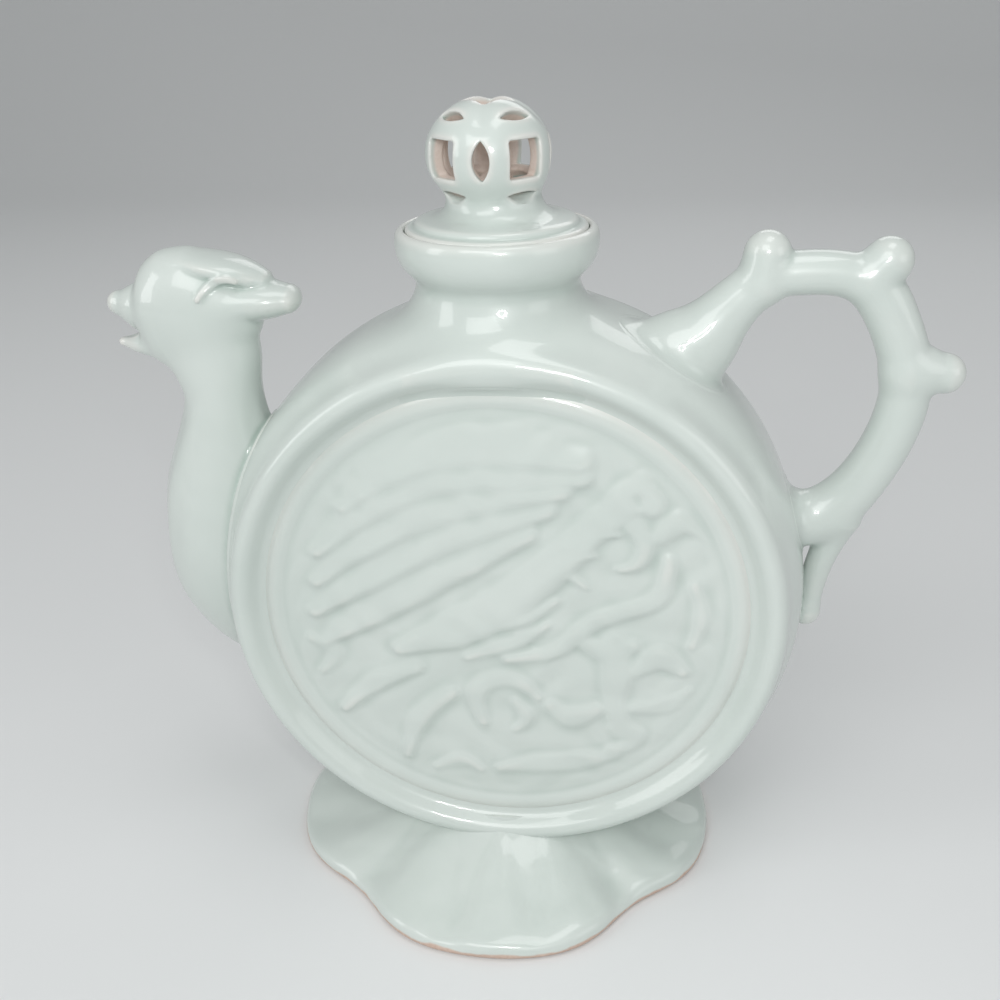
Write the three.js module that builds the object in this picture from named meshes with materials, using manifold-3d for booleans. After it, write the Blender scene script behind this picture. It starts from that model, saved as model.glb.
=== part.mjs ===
// Celadon teapot: a flat round flask body on a lobed foot, with a bird-head spout, a loop
// handle set with knobs, and a lid under a pierced coin ball.
// Millimetres, +Z up. The front face looks towards -Y, the spout points towards -X and the
// handle towards +X. Sizes are set out from the pot's own upright axis, and the whole pot then
// stands with its origin midway along its length, on the surface that carries it.
import * as THREE from "three";
import { mergeVertices } from "three/addons/utils/BufferGeometryUtils.js";
import Module from "manifold-3d";

const wasm = await Module();
wasm.setup();

// Driving dimensions of the body.
const bodyUnderside = 5.2;
const bodyRadius = 78.8;
const bodyOffset = 1.8;
const bodyHalfDepth = 28;
const bodyWall = 4.5;
const rimRollRadius = 4;
const rimInset = 5;
const recessDrop = 4.5;
const innerCornerRadius = 12.5;

// Driving dimensions of the medallions.
const medallionMargin = 2;
const medallionThickness = 3.2;
const medallionRingHeight = 1.2;
const medallionRingWidth = 4.5;
const reliefHeight = 1.1;
const reliefRoot = 0.8;

// Main forms of the medallions' relief, a bird in flight among clouds, as
// [x, z, half width] from the medallion's centre.
const reliefForms = {
  upperWing: [[-40, 32, 2], [-28, 42, 4.5], [-11, 48.5, 5], [5, 49, 5], [20, 46, 3]],
  middleWing: [[-49, 10, 2], [-37, 21, 4.5], [-20, 31, 5.5], [-4, 36.5, 5.5], [15, 38.5, 3]],
  lowerWing: [[-48, -8, 2], [-36, 1, 4.5], [-21, 11.5, 5.5], [-8, 19.5, 5.5], [6, 26, 3]],
  body: [[-28, -10, 2.5], [-12, -3, 6], [2, 6, 6.5], [13, 16, 5.5], [22, 26, 4.5], [33, 36, 5]],
  ribbon: [[42, 19, 2], [40.5, 9, 2.8], [32, 4, 2.8], [22, -1, 2.8], [15, -8, 2.4], [1, -12, 1.6]],
  upperTail: [[-24, -16, 2.5], [-36, -22, 3.2], [-45, -31, 1.5]],
  lowerTail: [[-15, -24, 2.5], [-24, -33, 3.2], [-28, -46, 1.5]],
  curl: [[9, -24, 1.6], [2, -18.5, 3], [-7, -22, 3], [-6, -33, 1.8]],
  cloudStem: [[29, -7, 5], [30, -15, 4.5], [29.5, -24, 3.2], [32, -34, 3.4]],
  rightCloud: [[35, -14, 2.5], [41, -10, 4.5], [47, -14, 2]],
  lowerCloud: [[13, -27, 2.5], [18, -30, 4], [25, -27, 2]],
  bottomCloud: [[-2, -49, 1.6], [9, -46.5, 3.5], [20, -45, 3.6], [30, -42, 1.8]],
  rightStreak: [[49, 12, 1.4], [51, 3, 2.4], [49, -6, 1.4]],
};

// Driving dimensions of the foot.
const footRadius = 60;
const footRimHeight = 4;
const footOverlap = 9.8;
const footEdgeRound = 1.5;
const footRimWidth = 6;
const footWall = 5;
const footLobes = 4;
const footLobeDepth = 7;
const footPetals = 12;
const footPetalDepth = 1.4;

// Driving dimensions of the neck, the mouth and the lid.
const neckWaistRadius = 20.3;
const neckRise = 4.7;
const neckFlare = 6.5;
const mouthRadius = 25.5;
const mouthHeight = 12.5;
const mouthBore = 14.5;
const lidRadius = 22.1;
const lidSeatDepth = 2.5;
const lidRise = 3.6;
const lidStep = 3.8;
const lidDomeRise = 1;
const flangeWall = 2.9;
const flangeDepth = 11;
const ventRadius = 2.5;
const stemRadius = 11.4;
const stemHeight = 6.1;
const ballRadius = 15;
const ballHeight = 26.7;
const ballWall = 4.1;
const coinHole = 8.6;
const slotLength = 10;
const slotWidth = 4;

// Driving dimensions of the spout.
const spoutBore = 3.4;
const strainerHoleRadius = 2;
const strainerPitch = 6.4;
const strainerHeight = 21;
const headJointRise = 58;
const gapeBack = 20.6;
const gapeRise = 69;
const gapeLength = 8;
const gapeDrop = 1.2;
const gapeHeight = 8.4;

// Driving dimensions of the handle.
const handleRadius = 5.4;
const knobRadius = 6.1;
const tailRadius = 4;
const tailBeadRadius = 4.4;

// Clearances: luted pieces stay a joint's width apart, and the lid drops in freely.
const jointGap = 0.3;
const lidClearance = 0.5;

// Facets round each form.
const bodySides = 36;
const footSides = 48;
const neckSides = 28;
const rodSides = 12;
const spoutSides = 18;

// Share of a quarter turn that the body's side runs through before its rim roll, in degrees.
const sideArc = 72;

const glaze = { color: 0xc3d3cb, roughness: 0.18, metalness: 0 };

// Solids from geometry.

/** Closed geometry as a solid that faces outwards, whichever way its profile runs. */
function solid(geometry) {
  const bare = geometry.clone();
  bare.deleteAttribute("normal");
  bare.deleteAttribute("uv");
  const merged = mergeVertices(bare, 1e-4);
  const corners = [];
  for (let i = 0; i < merged.index.count; i += 3) {
    const [a, b, c] = [0, 1, 2].map((k) => merged.index.array[i + k]);
    if (a !== b && b !== c && c !== a) corners.push([a, b, c]);
  }
  const make = (triangles) =>
    new wasm.Manifold(
      new wasm.Mesh({
        numProp: 3,
        vertProperties: merged.attributes.position.array,
        triVerts: new Uint32Array(triangles.flat()),
      }),
    );
  const made = make(corners);
  return made.volume() < 0 ? make(corners.map(([a, b, c]) => [a, c, b])) : made;
}

/** Geometry of a solid, for a mesh. */
function geometryOf(made) {
  const { vertProperties, triVerts } = made.getMesh();
  const geometry = new THREE.BufferGeometry();
  geometry.setAttribute("position", new THREE.BufferAttribute(vertProperties, 3));
  geometry.setIndex(new THREE.BufferAttribute(triVerts, 1));
  geometry.computeVertexNormals();
  return geometry;
}

/** Solid from rings of points, skinned one to the next, with a fan over each end. */
function skinned(rings) {
  const sides = rings[0].length;
  const middleOf = (ring) =>
    ring.reduce((sum, p) => sum.add(p), new THREE.Vector3()).divideScalar(sides);
  const last = rings.length - 1;
  const points = [...rings.flat(), middleOf(rings[0]), middleOf(rings[last])];
  const firstFan = rings.length * sides;
  const index = [];
  for (let side = 0; side < sides; side += 1) {
    const next = (side + 1) % sides;
    for (let ring = 0; ring < last; ring += 1) {
      const [a, b] = [ring * sides + side, ring * sides + next];
      index.push(a, b, b + sides, a, b + sides, a + sides);
    }
    index.push(firstFan, next, side);
    index.push(firstFan + 1, last * sides + side, last * sides + next);
  }
  const geometry = new THREE.BufferGeometry().setFromPoints(points);
  geometry.setIndex(index);
  return solid(geometry);
}

/** Solid turned about the vertical axis from a closed profile of [radius, height]. */
function turned(profile, sides = neckSides) {
  const points = [...profile, profile[0]].map(([r, z]) => new THREE.Vector2(r, z));
  return solid(new THREE.LatheGeometry(points, sides).rotateX(Math.PI / 2));
}

/** Solid turned about the body's own axis from [radius, distance in front of the seam]. */
function turnedOnBodyAxis(profile) {
  const points = profile.map(([r, front]) => new THREE.Vector2(r, -front));
  const geometry = new THREE.LatheGeometry(points, bodySides);
  return solid(geometry.translate(bodyOffset, 0, bodyCentreHeight));
}

/** Rod through stations [x, z, half height, half depth], in the plane of spout and handle. */
function rod(stations, steps, grow = 0, sides = rodSides) {
  const line = new THREE.CatmullRomCurve3(stations.map(([x, z]) => new THREE.Vector3(x, 0, z)));
  const girth = new THREE.CatmullRomCurve3(
    stations.map(([, , height, depth]) => new THREE.Vector3(height, depth ?? height, 0)),
    false,
    "catmullrom",
  );
  const rings = [];
  for (let step = 0; step <= steps; step += 1) {
    const t = step / steps;
    const centre = line.getPoint(t);
    const along = line.getTangent(t);
    const across = new THREE.Vector3(-along.z, 0, along.x);
    const { x: height, y: depth } = girth.getPoint(t);
    rings.push(
      Array.from({ length: sides }, (_, side) => {
        const angle = (2 * Math.PI * side) / sides;
        const point = centre.clone().addScaledVector(across, (height + grow) * Math.cos(angle));
        point.y = (depth + grow) * Math.sin(angle);
        return point;
      }),
    );
  }
  return skinned(rings);
}

/** Box solid between two corners. */
function block([x0, y0, z0], [x1, y1, z1]) {
  const box = new THREE.BoxGeometry(x1 - x0, y1 - y0, z1 - z0);
  return solid(box.translate((x0 + x1) / 2, (y0 + y1) / 2, (z0 + z1) / 2));
}

/** Ball solid in the plane of spout and handle. */
function ball(x, z, radius, sides = rodSides) {
  return solid(new THREE.SphereGeometry(radius, sides, sides / 2 + 2).translate(x, 0, z));
}

// The body: two moulded shells that meet on the seam plane.
const bodyCentreHeight = bodyUnderside + bodyRadius;
const rimCentreRadius = bodyRadius - rimInset - rimRollRadius;
const rimCentreDepth = bodyHalfDepth - rimRollRadius;
const recessRadius = rimCentreRadius - rimRollRadius;
const medallionRadius = recessRadius - medallionMargin;
const recessDepth = bodyHalfDepth - recessDrop;
const seatDepth = recessDepth - medallionThickness;
const innerFaceDepth = seatDepth - bodyWall + jointGap;
const innerRadius = bodyRadius - bodyWall;
const bodyTop = bodyCentreHeight + bodyRadius;

/** Points of an arc of an ellipse, as [radius, depth]. */
function arc([r, d], radiusAcross, depthAcross, from, to, steps) {
  return Array.from({ length: steps + 1 }, (_, i) => {
    const angle = THREE.MathUtils.degToRad(from + ((to - from) * i) / steps);
    return [r + radiusAcross * Math.cos(angle), d + depthAcross * Math.sin(angle)];
  });
}

/** Outer profile of one half, from the seam over the rim roll to the recess. */
function outerProfile(grow = 0) {
  const rimOuterRadius = rimCentreRadius + rimRollRadius;
  const [seam, rim] = [0, rimCentreDepth];
  return [
    ...arc([rimOuterRadius, seam], rimInset + grow, rim, 0, sideArc, 4),
    ...arc([rimCentreRadius, rim], rimRollRadius + grow, rimRollRadius + grow, 0, 180, 5),
  ];
}

/** The whole outside of the body, grown by the joint's width, to cut what is luted to it. */
function bodyEnvelope(grow = jointGap) {
  const half = [...outerProfile(grow), [0, rimCentreDepth + grow]];
  const back = half.slice(1).map(([r, depth]) => [r, -depth]);
  return turnedOnBodyAxis([...back.reverse(), ...half]);
}

/** One shell, before its holes: side is 1 for the front and -1 for the back. */
function plainShell(side) {
  const seam = jointGap / 2;
  const inner = arc([innerRadius - innerCornerRadius, seam], innerCornerRadius,
    innerFaceDepth - seam, 90, 0, 4);
  const seatRadius = medallionRadius + jointGap;
  const outer = outerProfile().map(([r, depth]) => [r, Math.max(depth, seam)]);
  const profile = [
    [0, innerFaceDepth],
    ...inner,
    ...outer,
    [seatRadius, recessDepth],
    [seatRadius, seatDepth],
    [0, seatDepth],
    [0, innerFaceDepth],
  ];
  return turnedOnBodyAxis(profile.map(([r, depth]) => [r, side * depth]));
}

const strainerCentre = bodyCentreHeight + strainerHeight;
const neckTop = bodyTop + neckRise;

/** Bore of the mouth, from inside the body to above the lid's seat. */
function mouthBoreCut() {
  const bottom = bodyTop - bodyRadius / 3;
  return turned([[0, bottom], [mouthBore, bottom], [mouthBore, neckTop], [0, neckTop]]);
}

/** Pierced holes between the body and the spout: one in the middle and six round it. */
function strainerCuts() {
  const length = bodyRadius / 2;
  const places = [[0, 0]];
  for (let i = 0; i < 6; i += 1) {
    const angle = (Math.PI * i) / 3 + Math.PI / 6;
    places.push([strainerPitch * Math.cos(angle), strainerPitch * Math.sin(angle)]);
  }
  return places.map(([y, z]) => {
    const pin = new THREE.CylinderGeometry(strainerHoleRadius, strainerHoleRadius, length, 10);
    pin.rotateZ(Math.PI / 2).translate(bodyOffset - bodyRadius, y, strainerCentre + z);
    return solid(pin);
  });
}

function shell(side) {
  const cuts = [mouthBoreCut(), ...strainerCuts()];
  return cuts.reduce((left, cut) => left.subtract(cut), plainShell(side));
}

/** How far a medallion's face stands in front of the seam, by distance from its centre. */
function medallionFace(distance) {
  const reach = medallionRadius - medallionRingWidth;
  return recessDepth - jointGap + (medallionRingHeight / 2) * (1 - distance / reach);
}

/** One low ridge of the relief, rooted in the front medallion and level with it at its ends. */
function reliefRidge(stations) {
  const points = stations.map(([x, z, width]) => new THREE.Vector3(x, width, z));
  const line = new THREE.CatmullRomCurve3(points);
  const steps = 2 * (stations.length - 1);
  const rings = [];
  for (let step = 0; step <= steps; step += 1) {
    const { x, y: width, z } = line.getPoint(step / steps);
    const along = line.getTangent(step / steps);
    const across = new THREE.Vector3(-along.z, 0, along.x).normalize();
    const face = medallionFace(Math.hypot(x, z));
    const crown = step % steps === 0 ? 0 : reliefHeight;
    const section = [[-1, -reliefRoot], [-0.6, crown], [0.6, crown], [1, -reliefRoot]];
    rings.push(
      section.map(([share, rise]) => {
        const point = new THREE.Vector3(bodyOffset + x, -(face + rise), bodyCentreHeight + z);
        return point.addScaledVector(across, share * width);
      }),
    );
  }
  return skinned(rings);
}

/** Press-moulded roundel in the front recess, with its raised border ring and its relief. */
function frontMedallion() {
  const back = seatDepth + jointGap;
  const field = medallionFace(medallionRadius - medallionRingWidth);
  const ringCentre = medallionRadius - medallionRingWidth / 2;
  const ring = arc([ringCentre, field], medallionRingWidth / 2, medallionRingHeight, 0, 180, 3);
  const disc = turnedOnBodyAxis([
    [0, back],
    [medallionRadius, back],
    ...ring,
    [0, medallionFace(0)],
    [0, back],
  ]);
  return Object.values(reliefForms).reduce((form, line) => form.add(reliefRidge(line)), disc);
}

/** The front medallion, turned half round the body's upright axis to the back. */
function backMedallion() {
  return frontMedallion().rotate([0, 0, 180]).translate([2 * bodyOffset, 0, 0]);
}

// The foot: a flared skirt in four lobes, pressed into petals, hollow underneath.

/** How far the foot's outline draws in at an angle, in shares of the lobe's depth. */
function lobeAt(angle) {
  return Math.abs(Math.sin((footLobes / 2) * angle)) ** 3;
}

/** How high a petal stands at an angle, from 0 in the valleys to 1 on its ridge. */
function petalAt(angle) {
  return Math.sqrt(Math.abs(Math.cos((footPetals / 2) * angle)));
}

/** Profile of the skirt as [radius, height, share of lobe, share of petal]. */
function footProfile() {
  const top = bodyUnderside + footOverlap;
  const rise = top - footRimHeight;
  const neck = bodyHalfDepth - footWall / 2;
  const [slopeRadius, edge] = [footRadius - neck, footRadius - footEdgeRound];
  const rim = edge - footEdgeRound;
  return [
    [rim - footRimWidth, 0, 1, 0],
    [rim, 0, 1, 0],
    [edge, footEdgeRound * 0.6, 1, 0],
    [footRadius, footRimHeight / 2, 1, 0.3],
    [footRadius - footEdgeRound / 2, footRimHeight, 1, 1],
    [neck + slopeRadius * 0.72, footRimHeight + rise * 0.22, 0.8, 1],
    [neck + slopeRadius * 0.42, footRimHeight + rise * 0.5, 0.45, 0.9],
    [neck + slopeRadius * 0.16, footRimHeight + rise * 0.85, 0.1, 0.4],
    [neck, top, 0, 0],
    [neck - footWall, top, 0, 0],
    [neck, top - footWall - rise * 0.35, 0.1, 0],
    [neck + slopeRadius * 0.5, footRimHeight + rise * 0.5 - footWall, 0.6, 0],
  ];
}

function foot() {
  const profile = footProfile();
  const points = [];
  const index = [];
  for (let side = 0; side < footSides; side += 1) {
    const angle = (2 * Math.PI * side) / footSides;
    profile.forEach(([radius, height, lobe, petal], i) => {
      const drawn = radius - footLobeDepth * lobe * lobeAt(angle);
      const pressed = footPetalDepth * petal * (1 - petalAt(angle));
      const reach = drawn - pressed / 2;
      points.push(new THREE.Vector3(reach * Math.cos(angle), reach * Math.sin(angle), height - pressed));
      const [next, up] = [(side + 1) % footSides, (i + 1) % profile.length];
      const [a, b] = [side * profile.length, next * profile.length];
      index.push(a + i, b + i, b + up, a + i, b + up, a + up);
    });
  }
  const geometry = new THREE.BufferGeometry().setFromPoints(points);
  geometry.setIndex(index);
  return solid(geometry).subtract(bodyEnvelope());
}

// The neck and the cup-shaped mouth, bored for the lid's flange.
const mouthBase = neckTop + jointGap;
const mouthTop = mouthBase + mouthHeight;
const lidSeat = mouthTop - lidSeatDepth;

function neckCollar() {
  const skirt = neckWaistRadius + neckFlare;
  const base = bodyTop - neckFlare * 1.5;
  const profile = [
    [mouthBore, base],
    [skirt, base],
    [skirt - 0.6, bodyTop - neckFlare * 0.7],
    [skirt - 2.6, bodyTop - neckFlare * 0.1],
    [skirt - 4.6, bodyTop + neckFlare * 0.35],
    [neckWaistRadius + 0.5, bodyTop + neckFlare * 0.7],
    [neckWaistRadius, neckTop],
    [mouthBore, neckTop],
  ];
  return turned(profile).subtract(bodyEnvelope());
}

function mouthRing() {
  const swell = mouthRadius - neckWaistRadius;
  const gallery = lidRadius + lidClearance;
  const lip = (gallery + mouthRadius) / 2;
  const profile = [
    [mouthBore, mouthBase],
    [neckWaistRadius, mouthBase],
    [neckWaistRadius + swell * 0.25, mouthBase + mouthHeight * 0.1],
    [neckWaistRadius + swell * 0.75, mouthBase + mouthHeight * 0.32],
    [mouthRadius - 0.2, mouthBase + mouthHeight * 0.55],
    [mouthRadius, mouthBase + mouthHeight * 0.75],
    [mouthRadius - 0.5, mouthTop - 1],
    [lip, mouthTop],
    [gallery + 0.3, mouthTop - 0.4],
    [gallery, lidSeat],
    [mouthBore, lidSeat],
  ];
  return turned(profile);
}

// The lid: a stepped disc over a flange, a stem and the pierced ball.
const lidUnder = lidSeat + jointGap;
const lidTop = lidUnder + lidRise + lidDomeRise;
const stemBase = lidTop + jointGap;
const ballFlattening = ballHeight / (2 * ballRadius);
const ballJointDrop = ballFlattening * Math.sqrt(ballRadius ** 2 - stemRadius ** 2);
const ballCentre = stemBase + stemHeight + ballJointDrop;

function lidDisc() {
  const stepRadius = lidRadius - lidStep;
  const profile = [
    [ventRadius, lidUnder],
    [lidRadius, lidUnder],
    [lidRadius, lidUnder + lidRise * 0.5],
    [lidRadius - 0.9, lidUnder + lidRise * 0.85],
    [stepRadius + 1, lidUnder + lidRise],
    [stepRadius, lidUnder + lidRise - 0.5],
    [stepRadius - 1, lidUnder + lidRise + 0.3],
    [stemRadius + 2, lidTop],
    [ventRadius, lidTop],
  ];
  return turned(profile);
}

function lidFlange() {
  const outer = mouthBore - lidClearance;
  const [top, bottom] = [lidSeat, lidSeat - flangeDepth];
  const inner = outer - flangeWall;
  return turned([[inner, bottom], [outer - 0.5, bottom], [outer, bottom + 1], [outer, top], [inner, top]]);
}

function finialStem() {
  const top = stemBase + stemHeight + ballRadius / 4;
  const profile = [
    [ventRadius, stemBase],
    [stemRadius + 2, stemBase],
    [stemRadius + 0.6, stemBase + stemHeight * 0.3],
    [stemRadius, stemBase + stemHeight * 0.7],
    [stemRadius, top],
    [ventRadius, top],
  ];
  const room = ball(0, 0, ballRadius + jointGap, 24).scale([1, 1, ballFlattening]);
  return turned(profile).subtract(room.translate([0, 0, ballCentre]));
}

/** Long slot with pointed ends, as a prism along X: two arcs that meet at the points. */
function slotPrism() {
  const [half, bulge] = [slotLength / 2, slotWidth / 2];
  const outline = new THREE.Shape();
  outline.moveTo(0, -half);
  outline.quadraticCurveTo(2 * bulge, 0, 0, half);
  outline.quadraticCurveTo(-2 * bulge, 0, 0, -half);
  const prism = new THREE.ExtrudeGeometry(outline, {
    depth: ballRadius * 1.5,
    bevelEnabled: false,
    curveSegments: 4,
  });
  return prism.rotateX(Math.PI / 2).rotateZ(Math.PI / 2);
}

/** Hollow, slightly flattened ball of linked coins: six square holes, and twelve slots. */
function finialBall() {
  const reach = 3 * ballRadius;
  const turn = new THREE.Matrix4().makeRotationZ(Math.PI / 4);
  let shape = ball(0, 0, ballRadius, 24).subtract(ball(0, 0, ballRadius - ballWall, 14));
  const bars = [
    [reach, coinHole, coinHole],
    [coinHole, reach, coinHole],
    [coinHole, coinHole, reach],
  ];
  for (const [x, y, z] of bars) {
    shape = shape.subtract(solid(new THREE.BoxGeometry(x, y, z).applyMatrix4(turn)));
  }
  for (const [tilt, spin] of edgeDirections()) {
    const slot = slotPrism();
    if (tilt === null) slot.rotateX(Math.PI / 2);
    else slot.rotateY(-tilt);
    shape = shape.subtract(solid(slot.rotateZ(spin)));
  }
  return shape.scale([1, 1, ballFlattening]).translate([0, 0, ballCentre]);
}

/** Directions of a cube's twelve edges: four level ones, four raised and four lowered. */
function edgeDirections() {
  const directions = [];
  for (let quarter = 0; quarter < 4; quarter += 1) {
    const spin = (quarter * Math.PI) / 2;
    directions.push([null, spin]);
    directions.push([Math.PI / 4, spin + Math.PI / 4]);
    directions.push([-Math.PI / 4, spin + Math.PI / 4]);
  }
  return directions;
}

// The spout: a breast and neck luted to the seam, and a bird's head with its crest.
const spoutRoot = bodyOffset - bodyRadius;
const headJoint = bodyCentreHeight + headJointRise;

/** Station of the spout, placed from the body's edge and centre. */
function fromSpoutRoot([out, up, height, depth]) {
  return [spoutRoot - out, bodyCentreHeight + up, height, depth];
}

const neckStations = [
  [-0.5, -27, 3, 3],
  [0, -19, 9.5, 9],
  [0.2, -8, 16.5, 14],
  [0, 4, 18.8, 16.5],
  [-0.3, 16, 18.6, 16.5],
  [-1, 28, 16.6, 15],
  [-1.7, 41, 13, 12.4],
  [-2.3, 52, 10.5, 10.6],
  [-2.2, 58, 10.9, 10.4],
  [-1.4, 64, 12.4, 10.2],
  [0.4, 71, 12.6, 9.8],
].map(fromSpoutRoot);

const headStations = [
  [26.4, 77.2, 0.6, 0.5],
  [25, 75.6, 4.4, 1.9],
  [23.6, 73.4, 7.8, 3],
  [19.6, 73.8, 8.8, 5.4],
  [14.4, 74.8, 12, 8.1],
  [10, 75.2, 14.4, 9.6],
  [5, 75.4, 15.4, 10.6],
  [0, 75.6, 15, 10.8],
  [-5, 76.6, 13, 10.2],
  [-10, 78, 9.8, 8.4],
  [-13.5, 79.2, 6.2, 5.6],
  [-15.5, 79.6, 2, 2],
].map(fromSpoutRoot);

const channelStations = [
  [-12, strainerHeight, 10, 10],
  [1, strainerHeight + 1, 9.4, 9.4],
  [2, strainerHeight + 10, 7.4, 7.4],
  [-0.6, 40, 5.6, 5.6],
  [-2.2, 53, 5, 5],
  [0, 64, 4.6, 4.6],
  [9, 70.4, spoutBore, spoutBore],
  [20, 70.6, spoutBore, spoutBore],
  [32, 70.6, spoutBore, spoutBore],
].map(fromSpoutRoot);

const crestStations = [
  [12, 86.2, 0.8, 1.2],
  [6, 90, 2, 3],
  [-2, 90, 2.4, 4],
  [-11, 87.4, 2.8, 4.6],
  [-18.5, 83, 3.2, 4.2],
  [-24.5, 78.4, 1.4, 2],
].map(fromSpoutRoot);

const tuftStations = [
  [-7, 71, 3, 5],
  [-12, 72, 3.6, 6.4],
  [-18, 74.4, 2.6, 5],
  [-22.5, 75.6, 1, 2],
].map(fromSpoutRoot);

function spoutChannel() {
  return rod(channelStations, 16, 0, 10);
}

/** The breast and neck in one, up into the head. */
function neckForm(grow = 0) {
  return rod(neckStations, 18, grow, spoutSides);
}

function spoutNeck() {
  const above = block([-3 * bodyRadius, -bodyRadius, headJoint - jointGap / 2], [0, bodyRadius, 2 * bodyTop]);
  const form = neckForm().subtract(above).subtract(bodyEnvelope());
  return form.subtract(spoutChannel());
}

/** The wedge of air between the two halves of the open beak. */
function beakGape() {
  const corner = new THREE.Vector2(spoutRoot - gapeBack, bodyCentreHeight + gapeRise);
  const front = corner.x - gapeLength;
  const outline = new THREE.Shape([
    corner,
    new THREE.Vector2(front, corner.y - gapeDrop),
    new THREE.Vector2(front, corner.y + gapeHeight),
    new THREE.Vector2(corner.x - gapeLength * 0.45, corner.y + gapeHeight * 0.57),
  ]);
  const depth = bodyRadius;
  const wedge = new THREE.ExtrudeGeometry(outline, { depth, bevelEnabled: false });
  return solid(wedge.rotateX(Math.PI / 2).translate(0, depth / 2, 0));
}

function plainHead(grow = 0) {
  return rod(headStations, 18, grow, spoutSides).add(neckForm(grow));
}

function birdHead() {
  const below = block([-3 * bodyRadius, -bodyRadius, 0], [0, bodyRadius, headJoint + jointGap / 2]);
  return plainHead().subtract(below).subtract(beakGape()).subtract(spoutChannel());
}

function crest() {
  return rod(crestStations, 9, 0, 10).subtract(plainHead(jointGap));
}

function napeTuft() {
  return rod(tuftStations, 6, 0, 10)
    .subtract(plainHead(jointGap))
    .subtract(rod(crestStations, 9, jointGap, 10));
}

// The handle: a bent rod with three knobs on its corners, and a tail down the body.

const handleRoot = bodyOffset + bodyRadius;

/** Station of the handle, placed from the body's edge and centre. */
function fromHandleRoot([out, up, ...girth]) {
  return [handleRoot + out, bodyCentreHeight + up, ...girth];
}

const handleStations = [
  [-41.6, 60, 15.5],
  [-34.6, 65.3, 13],
  [-29.4, 69.6, 10.3],
  [-25.2, 74.8, handleRadius + 1.6],
  [-19.6, 80.8, handleRadius + 0.6],
  [-13.6, 84.6, handleRadius],
  [-7.6, 85.6, handleRadius],
  [-1.1, 85.7, handleRadius],
  [5.4, 84.5, handleRadius + 0.2],
  [10.8, 81, handleRadius + 0.8],
  [15, 74.5, handleRadius + 0.8],
  [18.4, 66.5, handleRadius + 0.8],
  [20.2, 58, handleRadius + 0.8],
  [19.6, 49.5, handleRadius + 0.8],
  [16.9, 40.5, handleRadius + 0.8],
  [12.4, 31.5, handleRadius + 1],
  [7, 24.6, handleRadius + 1.6],
  [0.4, 20.6, handleRadius + 2.2],
  [-7.6, 20, handleRadius + 2.6],
].map(fromHandleRoot);

const knobPlaces = {
  handle_knob_upper: [-16.6, 89.6],
  handle_knob_corner: [11.5, 88.2],
  handle_knob_outer: [27.5, 60.4],
};

const tailStations = [
  [4.4, 17, tailRadius + 0.8],
  [5, 10.5, tailRadius + 0.2],
  [3.4, 3.5, tailRadius],
  [2, -3.5, tailRadius - 0.2],
].map(fromHandleRoot);

const tailBeadPlace = fromHandleRoot([1.8, -7.6]);

function handleLoop(grow = 0) {
  return rod(handleStations, 34, grow);
}

function handleTail(grow = 0) {
  return rod(tailStations, 6, grow);
}

function knob(place) {
  const [x, z] = fromHandleRoot(place);
  return ball(x, z, knobRadius).subtract(handleLoop(jointGap));
}

// Assembly.
const pot = new THREE.Group();
const lid = new THREE.Group();
pot.add(lid);

/** Adds a named piece to a group, in the glaze's colour. */
function add(group, name, made) {
  const mesh = new THREE.Mesh(geometryOf(made), new THREE.MeshStandardMaterial(glaze));
  mesh.name = name;
  group.add(mesh);
}

add(pot, "front_shell", shell(1));
add(pot, "back_shell", shell(-1));
add(pot, "front_medallion", frontMedallion());
add(pot, "back_medallion", backMedallion());
add(pot, "foot", foot());
add(pot, "neck_collar", neckCollar());
add(pot, "mouth_ring", mouthRing());
add(pot, "spout_neck", spoutNeck());
add(pot, "bird_head", birdHead());
add(pot, "crest", crest());
add(pot, "nape_tuft", napeTuft());
add(pot, "handle_loop", handleLoop().subtract(bodyEnvelope()));
for (const [name, place] of Object.entries(knobPlaces)) {
  add(pot, name, knob(place));
}
add(pot, "handle_tail", handleTail().subtract(bodyEnvelope()).subtract(handleLoop(jointGap)));
const [beadX, beadZ] = tailBeadPlace;
add(
  pot,
  "tail_bead",
  ball(beadX, beadZ, tailBeadRadius).subtract(bodyEnvelope()).subtract(handleTail(jointGap)),
);
add(lid, "lid_disc", lidDisc());
add(lid, "lid_flange", lidFlange());
add(lid, "finial_stem", finialStem());
add(lid, "finial_ball", finialBall());

// The origin stands midway between the beak's tip and the outer knob.
const reach = new THREE.Box3().setFromObject(pot);
pot.position.x = -(reach.min.x + reach.max.x) / 2;

export default pot;
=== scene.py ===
"""Celadon teapot: a flat round flask body on a lobed foot, with a bird-head spout, a loop handle
set with knobs, and a lid under a pierced ball of coins.

Forms are set out in millimetres from the pot's own upright axis, with the floor at height 0, the
front face towards -Y, the spout towards -X and the handle towards +X. They turn into metres in
the frame when a piece is finished. A luted piece is drawn as a field, negative inside, so that
it flows into its neighbour in a soft fillet, as slip and glaze do.
"""

import logging
import math
from collections.abc import Callable, Sequence
from dataclasses import dataclass, field
from enum import Enum

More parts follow.
